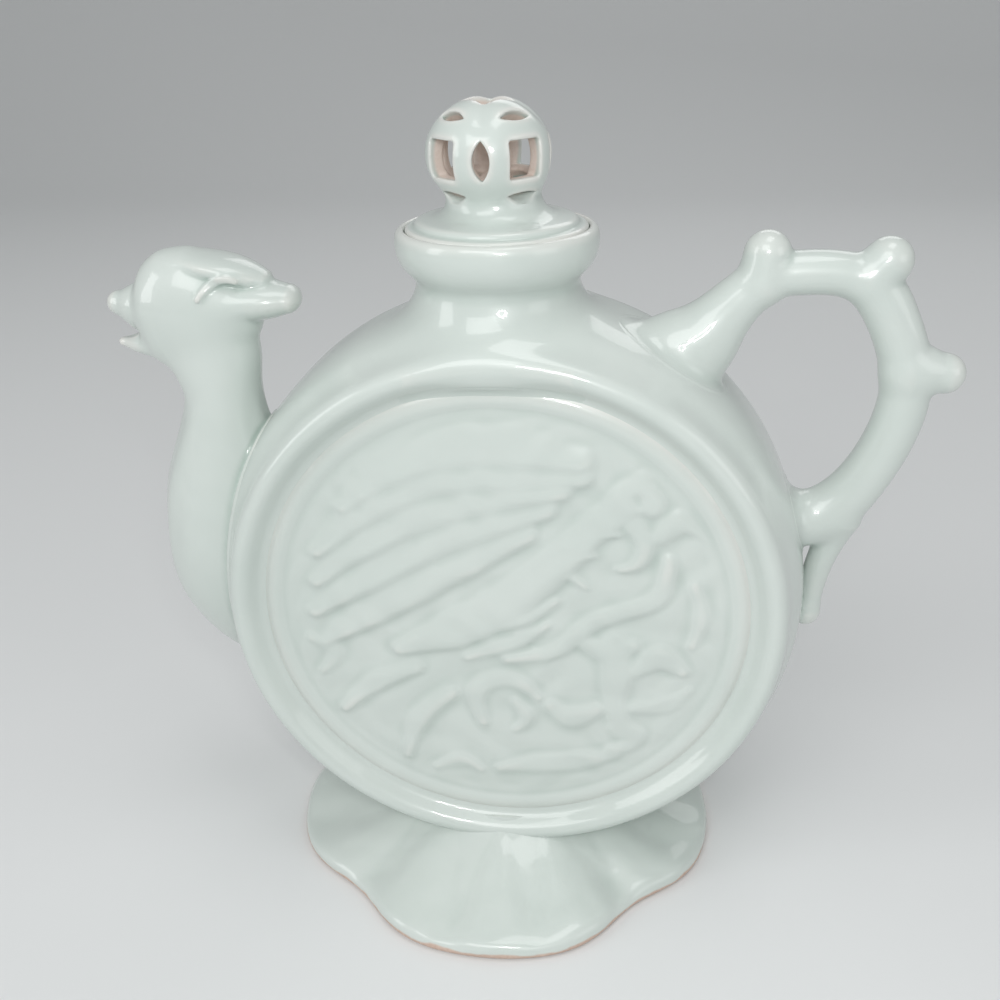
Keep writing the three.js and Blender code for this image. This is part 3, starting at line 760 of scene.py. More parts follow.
@dataclass
class Flask:
    """The flat round body, pressed in two halves, with its rim roll and the recess inside it."""

    finish: bpy.types.Material
    offset: float = 1.8
    centre_height: float = 84.0
    radius: float = 78.8
    recess_radius: float = 62.3
    recess_depth: float = 23.5
    seat_depth: float = 20.3
    seat_radius: float = 59.3
    inner_radius: float = 74.3
    inner_depth: float = 16.1
    inner_corner: float = 12.5
    bore_radius: float = 15.2
    bore_base: float = 135.0
    strainer_height: float = 105.0
    strainer_pitch: float = 6.4
    strainer_radius: float = 2.0
    segments: int = 400
    run: Run = field(init=False)

    def __post_init__(self) -> None:
        """Draws the whole outside once, for the field and the mesh."""
        self.run = Run(self.outside(0.1), cell=0.5, margin=20.0)

    def half(self, side: Side) -> list[Pair]:
        """One half's rim roll and side as radius and Y, from the recess to the seam."""
        roll = [(63.8, 23.6), (65.1, 24.2), (66.2, 25.4), (67.5, 27.0), (69.3, 27.9)]
        if side is Side.FRONT:
            band = [(71.0, 27.5), (72.3, 26.1), (73.1, 24.0), (73.8, 21.8), (74.9, 19.2), (76.3, 16.4)]
            band += [(77.4, 13.2), (78.2, 9.4), (78.65, 5.0)]
        else:
            band = [(71.6, 27.6), (74.2, 26.3), (76.3, 23.8), (77.7, 20.6), (78.4, 16.8)]
            band += [(78.65, 12.0), (78.75, 6.0)]
        return [(r, d * side.value) for r, d in (*roll, *band)]

    def outside(self, spacing: float) -> Array:
        """The whole outside as radius and Y, from the back face round the seam to the front face."""
        floor = [(r, self.recess_depth) for r in (-6.0, 20.0, 45.0, self.recess_radius)]
        last = [(r, -d) for r, d in reversed(floor)]
        rim = [floor[-1], *self.half(Side.BACK), (self.radius, 0.0), *self.half(Side.FRONT)[::-1], last[0]]
        return joined_runs([floor, rim, last], spacing)

    def __call__(self, p: Array) -> Array:
        """Distances from the outside of the whole body."""
        away = np.hypot(p[:, 0] - self.offset, p[:, 2] - self.centre_height)
        _, _, left = self.run.locate(np.column_stack([away, p[:, 1]]))
        return left

    def shells(self) -> list[Array]:
        """Outer and inner profile of the body as radius and height towards the front."""
        rim = self.run.rows[self.run.rows[:, 0] >= self.seat_radius]
        seat = [(r, -self.seat_depth) for r in np.linspace(0, self.seat_radius - 0.2, 14)]
        seat.append((self.seat_radius, -self.seat_depth - 0.2))
        outer = [*seat, *(thinned(rim, 4.0, 1.6) * (1, -1)).tolist(), *[(r, -h) for r, h in reversed(seat)]]
        corner = self.inner_radius - self.inner_corner
        flat = [(r, -self.inner_depth) for r in np.linspace(0, corner, 12)[:-1]]
        angles = np.linspace(-math.pi / 2, math.pi / 2, 31)
        turn = [(corner + self.inner_corner * math.cos(a), self.inner_depth * math.sin(a)) for a in angles]
        inner = [*flat, *turn, *[(r, -h) for r, h in reversed(flat)]]
        return [np.array(outer), np.array(inner)[::-1]]

    def build(self) -> None:
        """Throws the body, bores its mouth and pierces the strainer behind the spout."""
        lift = (self.offset, 0.0, self.centre_height)
        upright = (math.pi / 2, 0.0, 0.0)
        blank = turned("thrown_flask", self.shells(), self.finish, self.segments, upright, lift, closed=False)
        clay = Clay(
            "bored_flask",
            Bore=self.bore_radius,
            Depth=self.radius / 2,
            Mouth=(0.0, 0.0, self.bore_base + self.radius / 4),
            Pin=self.strainer_radius,
            Pitch=self.strainer_pitch,
            Reach=self.radius / 4,
            Strainer=(self.offset - self.radius + 2.0, 0.0, self.strainer_height),
        )
        given = clay.given
        bore = {"Vertices": 96, "Radius": given["Bore"], "Depth": given["Depth"]}
        mouth = clay.add("GeometryNodeMeshCylinder", None, bore).outputs["Mesh"]
        drill = clay.add("GeometryNodeTransform", None, {"Geometry": mouth, "Translation": given["Mouth"]})
        ring = clay.add("GeometryNodeMeshCircle", None, {"Vertices": 6, "Radius": given["Pitch"]})
        middle = clay.add("GeometryNodeMeshLine", None, {"Count": 1})
        spots = clay.add("GeometryNodeJoinGeometry", None, {0: [ring.outputs[0], middle.outputs[0]]})
        hole = {"Vertices": 20, "Radius": given["Pin"], "Depth": given["Reach"]}
        pin = clay.add("GeometryNodeMeshCylinder", None, hole).outputs["Mesh"]
        pins = clay.add("GeometryNodeInstanceOnPoints", None, {"Points": spots.outputs[0], "Instance": pin})
        laid = (0.0, math.pi / 2, 0.0)
        level = {"Geometry": pins.outputs[0], "Rotation": laid, "Translation": given["Strainer"]}
        set_out = clay.add("GeometryNodeTransform", None, level).outputs[0]
        real = clay.add("GeometryNodeRealizeInstances", None, {"Geometry": set_out})
        cutters = clay.add("GeometryNodeJoinGeometry", None, {0: [drill.outputs[0], real.outputs[0]]})
        way = {"operation": "DIFFERENCE", "solver": "MANIFOLD"}
        cut = {"Mesh 1": given["Geometry"], "Mesh 2": cutters.outputs[0]}
        clay.close(clay.add("GeometryNodeMeshBoolean", way, cut).outputs["Mesh"])
        shells = ["front_shell", "back_shell"]
        settle("flask_body", clay.run(blank, self.finish), self.finish, Body.POT, shells)


@dataclass(frozen=True)
class Stroke:
    """One modelled form of the relief: a smooth line with a width that changes along it."""

    path: tuple[Pair, ...]
    widths: tuple[float, ...]
    height: float
    lean: float = 0.0


@dataclass
class Relief:
    """The press-moulded roundel in the recess: a bird in flight among clouds, inside a ring."""

    finish: bpy.types.Material
    flask: Flask
    radius: float = 63.8
    ring_radius: float = 61.2
    ring_half_width: float = 3.1
    ring_height: float = 0.75
    ground_depth: float = 23.55
    dome: float = 0.6
    back_depth: float = 20.6
    cells: int = 284
    pixel: float = 0.25
    soften: float = 0.7
    swirl_height: float = 0.3
    overlap: float = 0.3
    calm_margin: Pair = (7.0, 3.0)
    edge_sink: float = 0.25

    def strokes(self) -> list[Stroke]:
        """The forms of the bird and the clouds, from the disc's centre. A lean lifts one long edge."""
        feather = (2.6, 5.4, 6.4, 6.4, 3.8)
        trunk = (2.5, 6.0, 6.5, 5.5, 4.5, 5.0)
        ribbon = (2.0, 2.8, 2.8, 2.8, 2.4, 1.6)
        return [
            # The raised wing: long overlapping feathers, each stepped down to the next.
            Stroke(((-40, 32), (-28, 42), (-11, 48.5), (5, 49), (20, 46)), feather, 1.1, -0.75),
            Stroke(((-48, 19), (-35, 31), (-18, 40.5), (0, 43), (20, 42)), feather, 1.1, -0.75),
            Stroke(((-49, 10), (-37, 21), (-20, 31), (-4, 36.5), (15, 38.5)), feather, 1.1, -0.75),
            Stroke(((-50, 1), (-37, 11), (-21, 21.5), (-6, 28.5), (11, 33)), feather, 1.1, -0.75),
            Stroke(((-48, -8), (-36, 1), (-21, 11.5), (-8, 19.5), (6, 26)), feather, 1.1, -0.75),
            # The body and neck, up to the head with its eye, beak and comb.
            Stroke(((-28, -10), (-12, -3), (2, 6), (13, 16), (22, 26), (33, 36)), trunk, 1.3, -0.25),
            Stroke(((29, 33), (34, 36.5), (37.5, 34.5)), (4.5, 5.6, 3.8), 1.45),
            Stroke(((33, 29), (36, 24), (34.8, 18), (29.5, 16)), (3.2, 2.5, 2.0, 0.8), 1.15),
            Stroke(((33, 41), (39, 43), (44, 40)), (1.4, 1.8, 0.6), 0.7),
            Stroke(((33.5, 36.2), (34.5, 35.4)), (1.3, 1.3), -0.5),
            # Plumes at the throat.
            Stroke(((16, 22), (23, 25), (30, 26)), (1.0, 1.4, 0.6), 1.45),
            Stroke(((15, 17), (20, 19), (24, 20)), (1.0, 1.3, 0.6), 1.3),
            Stroke(((16, 15), (19, 13), (22, 10.5)), (1.0, 1.3, 0.6), 1.1),
            # Short feathers below the body.
            Stroke(((-12, -5), (-3, -1), (6, 2), (14, 6.5)), (1.4, 3.2, 3.4, 1.2), 1.1, -0.4),
            Stroke(((-10, -12), (-2, -8), (5, -5), (12, -0.5)), (1.2, 3.0, 3.0, 1.0), 0.95, -0.4),
            # The long ribbon that curls back from the tail.
            Stroke(((42, 19), (40.5, 9), (32, 4), (22, -1), (15, -8), (1, -12)), ribbon, 1.15),
            # Clouds to the right.
            Stroke(((40, 26), (46, 30), (52, 26)), (2.8, 4.0, 1.8), 0.85),
            Stroke(((35, -14), (41, -10), (47, -14)), (2.5, 4.5, 2.0), 1.0),
            Stroke(((49, 12), (51, 3), (49, -6)), (1.4, 2.4, 1.4), 0.8),
            Stroke(((35, -26), (43, -25), (49, -20)), (2.0, 3.0, 1.2), 0.75),
            # The cloud head below the ribbon, its stem and hook.
            Stroke(((22, -6.5), (28, -8.5), (34, -6.5)), (2.4, 4.2, 2.4), 1.0),
            Stroke(((29, -7), (30, -15), (29.5, -24), (32, -34)), (5.0, 4.5, 3.2, 3.4), 0.95),
            Stroke(((30, -33), (35, -35), (33.5, -38.5), (28, -40.5)), (2.6, 3.2, 2.6, 1.0), 0.95),
            Stroke(((13, -27), (18, -30), (25, -27)), (2.5, 4.0, 2.2), 1.0),
            # Curls below and to the left of the centre.
            Stroke(((9, -24), (2, -18.5), (-7, -22), (-6, -33)), (1.6, 3.0, 3.0, 1.8), 1.0),
            Stroke(((3, -26), (6, -31), (3, -35)), (1.6, 2.4, 1.2), 0.85),
            Stroke(((-2, -49), (9, -46.5), (20, -45), (30, -42)), (1.6, 3.5, 3.6, 1.8), 0.9),
            # The trailing tail and the clouds under the far wing.
            Stroke(((-24, -16), (-36, -22), (-45, -31)), (2.5, 3.4, 1.5), 1.1, 0.4),
            Stroke(((-15, -24), (-24, -33), (-28, -46)), (2.5, 3.4, 1.5), 1.0, 0.4),
            Stroke(((-52, -8), (-46, -12), (-50, -19)), (1.6, 2.8, 1.2), 0.85),
            Stroke(((-20, -50), (-12, -46.5), (-7, -50)), (1.2, 2.4, 1.0), 0.75),
        ]

    def swirl(self, x: Array, z: Array) -> Array:
        """The worn unevenness of a pressed face: two crossed waves, each bent by a longer one."""
        across = np.sin(x / 3.4 + 1.9 * np.sin(z / 6.1 + 0.6))
        up = np.sin(z / 2.9 + 1.7 * np.sin(x / 5.3 + 1.1))
        return across * up

    def heights(self) -> tuple[Array, float]:
        """Height of the relief on a square raster round the disc's centre, and the raster's half width."""
        half = self.radius + 1
        steps = np.arange(-half, half + self.pixel, self.pixel)
        relief = np.zeros((len(steps), len(steps)))
        for stroke in self.strokes():
            line = spline(stroke.path, 0.4)
            shares = np.linspace(0, 1, len(stroke.widths))
            wide = np.interp(np.linspace(0, 1, len(line)), shares, stroke.widths)
            reach = max(stroke.widths) + 0.5
            low, high = line.min(0) - reach, line.max(0) + reach
            xs = np.flatnonzero((steps > low[0]) & (steps < high[0]))
            zs = np.flatnonzero((steps > low[1]) & (steps < high[1]))
            gx, gz = np.meshgrid(steps[xs], steps[zs], indexing="ij")
            run = Run(np.column_stack([line, wide]), cell=0.5, margin=reach + 1)
            index, along, left = run.locate(np.column_stack([gx.ravel(), gz.ravel()]))
            ends = ((index == 0) & (along < 0)) | ((index == run.count - 1) & (along > 0))
            width = run.rows[index, 2]
            share = np.hypot(left, np.where(ends, along, 0.0)) / width
            crown = np.sqrt(np.clip(1 - share**3, 0, 1)) * (1 + stroke.lean * np.clip(left / width, -1, 1))
            lump = (abs(stroke.height) * crown).reshape(gx.shape)
            patch = relief[np.ix_(xs, zs)]
            raised = -smooth_union(-patch, -lump, self.overlap)
            relief[np.ix_(xs, zs)] = raised if stroke.height > 0 else patch - lump
        relief += self.swirl_height * self.swirl(*np.meshgrid(steps, steps, indexing="ij"))
        reach = math.ceil(3 * self.soften / self.pixel)
        taps = np.exp(-0.5 * (np.arange(-reach, reach + 1) * self.pixel / self.soften) ** 2)
        taps /= taps.sum()
        for axis in (0, 1):
            relief = sum(t * np.roll(relief, k - reach, axis) for k, t in enumerate(taps))
        return relief, half

    def depth_at(self, spots: Array, relief: Array, half: float) -> Array:
        """How far in front of the seam the roundel's face stands at spots from its centre."""
        away = np.hypot(spots[:, 0], spots[:, 1])
        at = (spots + half) / self.pixel
        base = np.clip(at.astype(int), 0, len(relief) - 2)
        u, v = (at - base).T
        i, j = base.T
        low = relief[i, j] * (1 - u) + relief[i + 1, j] * u
        high = relief[i, j + 1] * (1 - u) + relief[i + 1, j + 1] * u
        inside = 1 - fade(away, *(self.ring_radius - margin for margin in self.calm_margin))
        lump = (low * (1 - v) + high * v) * inside
        across = np.clip(np.abs(away - self.ring_radius) / self.ring_half_width, 0, 1)
        ring = self.ring_height * (1 - across**2) ** 1.6
        crown = self.dome * (1 - np.clip(away / self.ring_radius, 0, 1) ** 2)
        sink = self.edge_sink * fade(away, self.ring_radius + 1.0, self.radius)
        return self.ground_depth + lump + ring + crown - sink

    def build(self) -> None:
        """Presses one roundel for each face."""
        relief, half = self.heights()
        n = self.cells
        a, b = np.meshgrid(np.linspace(-1, 1, n + 1), np.linspace(-1, 1, n + 1), indexing="ij")
        a, b = a.ravel(), b.ravel()
        wide = np.abs(a) >= np.abs(b)
        small = np.where(wide, b / np.where(a == 0, 1, a), a / np.where(b == 0, 1, b))
        angle = small * math.pi / 4
        x = self.radius * np.where(wide, a * np.cos(angle), b * np.sin(angle))
        z = self.radius * np.where(wide, a * np.sin(angle), b * np.cos(angle))
        spots = np.column_stack([x, z])
        depth = self.depth_at(spots, relief, half)
        index = np.arange((n + 1) ** 2).reshape(n + 1, n + 1)
        quads = np.stack([index[:-1, :-1], index[1:, :-1], index[1:, 1:], index[:-1, 1:]], -1).reshape(-1, 4)
        border = np.concatenate([index[:-1, 0], index[-1, :-1], index[:0:-1, -1], index[0, :0:-1]])
        plug, rear = self.flask.seat_radius - 0.6, self.back_depth
        edge_depth = self.ground_depth - 0.5
        rings = [(self.radius, edge_depth), (plug, edge_depth), (plug, rear), (plug / 2, rear)]
        for side in Side:
            points = [np.column_stack([spots[:, 0] * -side.value, depth * side.value, spots[:, 1]])]
            faces, last, first = [quads], border, len(spots)
            for radius, back in rings:
                edge = spots[border] * radius / self.radius
                level = np.full(len(edge), back * side.value)
                points.append(np.column_stack([edge[:, 0] * -side.value, level, edge[:, 1]]))
                ring = first + np.arange(len(border))
                faces.append(np.stack([last, ring, np.roll(ring, -1), np.roll(last, -1)], -1))
                last, first = ring, first + len(border)
            points.append(np.array([[0.0, self.back_depth * side.value, 0.0]]))
            fan = np.stack([last, np.full(len(last), first), np.roll(last, -1)], -1)
            place = np.concatenate(points) + [self.flask.offset, 0, self.flask.centre_height]
            name = f"relief_{side.name.lower()}"
            mesh = bpy.data.meshes.new(name)
            mesh.from_pydata(place.tolist(), [], [*np.concatenate(faces).tolist(), *fan.tolist()])
            face_outwards(mesh)
            settle(name, mesh, self.finish, Body.POT, [f"{side.name.lower()}_medallion"])


@dataclass
class Luting:
    """How a piece is luted to the body: its skirt dives just under the body's skin."""

    flask: Flask
    dive: float = 0.03
    skin: float = 2.0

    def join(self, piece: Array, p: Array, blend: float | Array, bead: float = 0.0) -> Array:
        """Flows a piece into the body.

        Args:
            piece: Distances from the piece.
            p: The places that they were taken at.
            blend: Reach of the fillet, one for all or one for each place.
            bead: Radius of the bead of slip left along the joint.

        Returns:
            Distances from the piece with its fillet, without the body behind it.
        """
        body = self.flask(p) + self.dive
        joined = smooth_union(piece, body, blend)
        if bead:
            joined = smooth_union(joined, np.hypot(piece - 0.6 * blend, body) - bead, 2 * bead)
        return np.maximum(np.maximum(joined, piece - blend - 0.6), -(body + self.skin))


@dataclass
class Foot:
    """The flared foot: a thrown skirt, drawn in to four lobes and pressed into petals."""

    finish: bpy.types.Material
    lobes: int = 4
    lobe_depth: float = 6.0
    notch_power: float = 6.0
    spout_reach: float = 4.0
    petals: int = 12
    petal_depth: float = 1.0
    segments: int = 480

    def profile(self) -> Array:
        """The skirt as rows of radius, height, share of the lobes and share of the petals."""
        outside = [
            (51.0, 0.0, 1.0, 0.0),
            (57.6, 0.0, 1.0, 0.0),
            (59.2, 0.35, 1.0, 0.0),
            (59.9, 1.3, 1.0, 0.1),
            (59.9, 2.7, 1.0, 0.3),
            (59.3, 4.1, 1.0, 0.6),
            (57.3, 5.2, 0.97, 0.95),
            (50.3, 6.9, 0.8, 1.0),
            (40.0, 9.8, 0.45, 0.7),
            (31.0, 13.3, 0.1, 0.25),
            (26.6, 16.2, 0.0, 0.02),
            (25.5, 18.5, 0.0, 0.0),
        ]
        inside = [
            (20.6, 15.0, 0.0, 0.0),
            (25.5, 9.0, 0.1, 0.0),
            (42.6, 4.6, 0.6, 0.0),
            (50.0, 1.6, 1.0, 0.0),
            (51.0, 0.0, 1.0, 0.0),
        ]
        over = spline(outside, 0.35)
        under = spline(inside, 1.2)
        return np.concatenate([over, [(21.2, 18.5, 0.0, 0.0)], under[:-1]])

    def build(self) -> None:
        """Throws the skirt, then draws in the lobes and presses the petals by their rule."""
        path = 1.0
        clay = Clay(
            "petalled_foot",
            Segments=self.segments,
            Path=path,
            Lobes=float(self.lobes),
            Lobe_Depth=self.lobe_depth,
            Notch_Power=self.notch_power,
            Spout_Reach=self.spout_reach,
            Petals=float(self.petals),
            Petal_Depth=self.petal_depth,
            Sway=0.6,
            Sway_Scale=0.03,
            Uneven=2.2,
            Uneven_Scale=0.05,
        )
        given, sweep = clay.given, clay.sweep()
        place = clay.add("GeometryNodeInputPosition").outputs[0]
        split = clay.add("ShaderNodeSeparateXYZ", None, {0: place}).outputs
        angle = clay.math("ARCTAN2", split["Y"], split["X"])
        lobe_share = clay.carried("lobe")
        petal_share = clay.carried("petal")
        wave = clay.math("ABSOLUTE", clay.math("SINE", clay.product(angle, given["Lobes"], 0.5)))
        drawn = clay.product(clay.math("POWER", wave, given["Notch_Power"]), given["Lobe_Depth"], lobe_share)
        away_from_handle = clay.math("MAXIMUM", clay.product(clay.math("COSINE", angle), -1.0), 0.0)
        longer = clay.product(away_from_handle, away_from_handle, given["Spout_Reach"], lobe_share)
        sway = clay.noise(place, given["Sway_Scale"], 1.0, 0.5)
        swayed = clay.product(clay.math("SUBTRACT", sway, 0.5), given["Sway"])
        turns = clay.math("ADD", clay.product(angle, given["Petals"], 0.5 / math.pi), swayed)
        off_centre = clay.math("SUBTRACT", turns, clay.math("ROUND", turns))
        across = clay.product(clay.math("ABSOLUTE", off_centre), 2.0)
        arch = clay.math("POWER", clay.math("MAXIMUM", petal_share, 0.001), 0.5)
        spread = clay.math("MINIMUM", clay.math("DIVIDE", across, arch), 1.0)
        turned_down = clay.math("COSINE", clay.product(spread, math.pi))
        valley = clay.math("POWER", clay.math("MULTIPLY_ADD", turned_down, -0.5, 0.5), 1.6)
        pressed = clay.product(valley, given["Petal_Depth"], petal_share)
        folds = clay.noise(place, given["Uneven_Scale"], 1.5, 0.4)
        uneven = clay.product(clay.math("SUBTRACT", folds, 0.5), given["Uneven"], petal_share)
        sunk = clay.math("SUBTRACT", uneven, pressed)
        pull = clay.math("ADD", clay.math("SUBTRACT", clay.product(sunk, 0.4), drawn), longer)
        heading = {"X": clay.math("COSINE", angle), "Y": clay.math("SINE", angle)}
        out = clay.add("ShaderNodeCombineXYZ", None, heading).outputs[0]
        level = clay.add("ShaderNodeVectorMath", {"operation": "SCALE"}, {0: out, "Scale": pull}).outputs[0]
        rise = clay.add("ShaderNodeCombineXYZ", None, {"Z": sunk}).outputs[0]
        shift = clay.add("ShaderNodeVectorMath", {"operation": "ADD"}, {0: level, 1: rise}).outputs[0]
        moved = clay.add("GeometryNodeSetPosition", None, {"Geometry": sweep, "Offset": shift})
        clay.close(moved.outputs[0])
        rows = self.profile()
        count = len(rows)
        mesh = bpy.data.meshes.new("skirt")
        edges = [(i, (i + 1) % count) for i in range(count)]
        mesh.from_pydata([(r - path, -z, 0.0) for r, z, *_ in rows], edges, [])
        for name, column in [("lobe", 2), ("petal", 3)]:
            shares = rows[:, column].astype(np.float32)
            mesh.attributes.new(name, "FLOAT", "POINT").data.foreach_set("value", shares)
        settle("lobed_foot", clay.run(mesh, self.finish), self.finish, Body.POT, ["foot"])


@dataclass
class Mouth:
    """The neck that spreads on the body, and the cup-shaped mouth with the ledge for the lid."""

    finish: bpy.types.Material
    luting: Luting
    bore: float = 14.5
    base: float = 150.0
    seat: float = 177.8
    top: float = 181.0
    gallery: float = 22.6
    blend: float = 12.0
    voxel: float = 0.5
    shape: Outline = field(init=False)

    def __post_init__(self) -> None:
        """Draws the section of the neck and the mouth."""
        outside = [
            (25.4, self.base),
            (24.0, 155.0),
            (22.3, 159.8),
            (21.0, 163.6),
            (20.35, 166.4),
            (20.3, 167.9),
            (20.9, 169.4),
            (22.7, 171.3),
            (24.3, 173.7),
            (25.0, 176.4),
            (25.0, 178.8),
            (24.5, 180.4),
            (23.6, self.top),
            (22.9, 180.95),
            (self.gallery, 180.5),
            (self.gallery, 178.8),
            (self.gallery, self.seat),
        ]
        ledge = [(self.gallery, self.seat), (15.6, self.seat)]
        lip = [(15.6, self.seat), (14.8, 177.5), (self.bore, 176.6), (self.bore, 170.0)]
        bore = [(self.bore, 170.0), (self.bore, self.base)]
        self.shape = Outline([outside, ledge, lip, bore, [bore[-1], outside[0]]])

    def __call__(self, p: Array) -> Array:
        """Distances from the neck and mouth with their fillet on the body."""
        piece = self.shape(np.column_stack([np.hypot(p[:, 0], p[:, 1]), p[:, 2]]))
        joined = self.luting.join(piece, p, self.blend)
        return np.maximum(joined, self.bore - np.hypot(p[:, 0], p[:, 1]))

    def build(self) -> None:
        """Skins the neck and mouth in one."""
        points, quads = surface_of(self, (-40, -40, 143), (40, 40, 183), self.voxel)
        mesh = mesh_from("neck_and_mouth", points, quads)
        settle("neck_and_mouth", mesh, self.finish, Body.POT, ["neck_collar", "mouth_ring"])


@dataclass
class Spout:
    """The bird: a hollow breast and neck luted to the seam, and a head with an open beak."""

    finish: bpy.types.Material
    luting: Luting
    neck_blend: float = 3.0
    beak_blend: float = 5.0
    crest_blend: float = 2.2
    body_blend: float = 2.8
    body_bead: float = 0.5
    curl_height: float = 0.8
    flute_depth: float = 0.14
    flute_pitch: float = 6.2
    flutes_rise: Pair = (84.0, 100.0)
    flutes_fall: Pair = (128.0, 142.0)
    voxel: float = 0.5
    neck: Rod = field(init=False)
    skull: Rod = field(init=False)
    beaks: list[Rod] = field(init=False)
    crest: list[Rod] = field(init=False)
    curl: Rod = field(init=False)
    channel: Rod = field(init=False)
    gape: Outline = field(init=False)

    def __post_init__(self) -> None:
        """Draws the bird's forms."""
        self.neck = Rod([
            (-76.5, 57, 3, 3),
            (-77, 65, 9.5, 9),
            (-77.0, 76, 16.3, 14),
            (-77, 88, 18.8, 16.5),
            (-76.7, 100, 18.6, 16.5),
            (-76.2, 112, 17.0, 15),
            (-75.3, 125, 13, 12.4),
            (-74.7, 136, 10.4, 10.6),
            (-75.0, 142, 11.2, 10.4),
            (-75.8, 148, 12.6, 10.2),
            (-77.4, 155, 12.6, 9.8),
        ])
        self.skull = Rod([
            (-94.0, 159.2, 5.6, 4.6),
            (-92.6, 159.2, 9.0, 6.4),
            (-90.6, 159.3, 12.4, 8.2),
            (-87, 159.4, 15.0, 9.7),
            (-82, 159.6, 15.9, 10.8),
            (-77, 159.8, 15.6, 10.9),
            (-72, 160.6, 13.6, 10.2),
            (-67, 161.6, 10.4, 8.6),
            (-63.5, 162.6, 6.8, 6.2),
            (-61.5, 163.0, 2.8, 2.8),
        ])
        upper = Rod([
            (-86, 161.2, 9.4, 7.6),
            (-91, 160.9, 7.2, 6.6),
            (-95.5, 160.9, 5.0, 5.0),
            (-98.6, 161.0, 3.5, 3.5),
            (-99.6, 161.1, 3.2, 3.2),
        ])
        lower = Rod([
            (-87, 152.2, 8.2, 7.0),
            (-92, 150.7, 4.3, 5.2),
            (-96.5, 150.4, 2.5, 3.4),
            (-99.2, 150.6, 1.5, 1.9),
            (-100.2, 150.7, 1.3, 1.5),
        ])
        self.beaks = [upper, lower]
        self.crest = [
            Rod([
                (-88, 170.6, 1.5, 2.5),
                (-82, 172.2, 2.6, 5.6),
                (-75, 171.6, 3.2, 8.0),
                (-68, 170.0, 3.4, 8.2),
                (-62.6, 168.2, 3.0, 6.2),
                (-60.4, 167.5, 2.5, 4.8),
            ]),
            Rod([
                (-74, 160.0, 6.6, 9.6),
                (-66, 161.8, 5.8, 9.0),
                (-59, 162.3, 4.9, 7.8),
                (-54.5, 162.4, 3.8, 6.0),
            ]),
        ]
        self.curl = Rod([
            (-74.2, 164.6, 0.7, 20),
            (-72.5, 166.8, 1.0, 20),
            (-70.0, 168.5, 1.1, 20),
            (-67.0, 169.2, 1.0, 20),
            (-65.0, 168.6, 0.8, 20),
        ])
        self.channel = Rod([
            (-65, 105, 10, 10),
            (-78, 106, 9.4, 9.4),
            (-79, 115, 7.4, 7.4),
            (-76.4, 124, 5.6, 5.6),
            (-74.8, 137, 5, 5),
            (-77, 148, 4.6, 4.6),
            (-86, 154.2, 3.4, 3.4),
            (-97, 154.4, 2.5, 2.4),
            (-109, 154.6, 2.5, 2.4),
        ])
        corner = (-97.9, 152.75)
        self.gape = Outline([
            [corner, (-100.5, 151.9), (-107, 149.8)],
            [(-107, 149.8), (-107, 161.6)],
            [(-107, 161.6), (-104.4, 160.9), (-102.5, 159.3), (-100.2, 157.0), (-98.6, 154.7), corner],
        ])

    def bird(self, p: Array) -> Array:
        """Distances from the bird before its channel is bored."""
        along = fade(p[:, 2], *self.flutes_rise) * (1 - fade(p[:, 2], *self.flutes_fall))
        flutes = self.flute_depth * np.cos(2 * math.pi * p[:, 1] / self.flute_pitch)
        form = self.neck(p) + flutes * along
        form = smooth_union(form, self.skull(p), self.neck_blend)
        for beak in self.beaks:
            form = smooth_union(form, beak(p), self.beak_blend)
        for feather in self.crest:
            form = smooth_union(form, feather(p), self.crest_blend)
        form = smooth_union(form, smooth_overlap(self.curl(p), form - self.curl_height, 0.8), 1.2)
        wedge = np.where((p[:, 0] < -90) & (p[:, 2] > 140), self.gape(p[:, [0, 2]]), FAR)
        return smooth_cut(form, wedge, 0.9)

    def __call__(self, p: Array) -> Array:
        """Distances from the hollow bird with its fillet on the body."""
        joined = self.luting.join(self.bird(p), p, self.body_blend, self.body_bead)
        return smooth_cut(joined, self.channel(p), 0.8)

    def build(self) -> None:
        """Skins the bird in one, from breast to crest."""
        points, quads = surface_of(self, (-107, -22, 50), (-48, 22, 180), self.voxel)
        nodes = ["spout_neck", "bird_head", "crest", "nape_tuft"]
        settle("bird_spout", mesh_from("bird_spout", points, quads), self.finish, Body.POT, nodes)


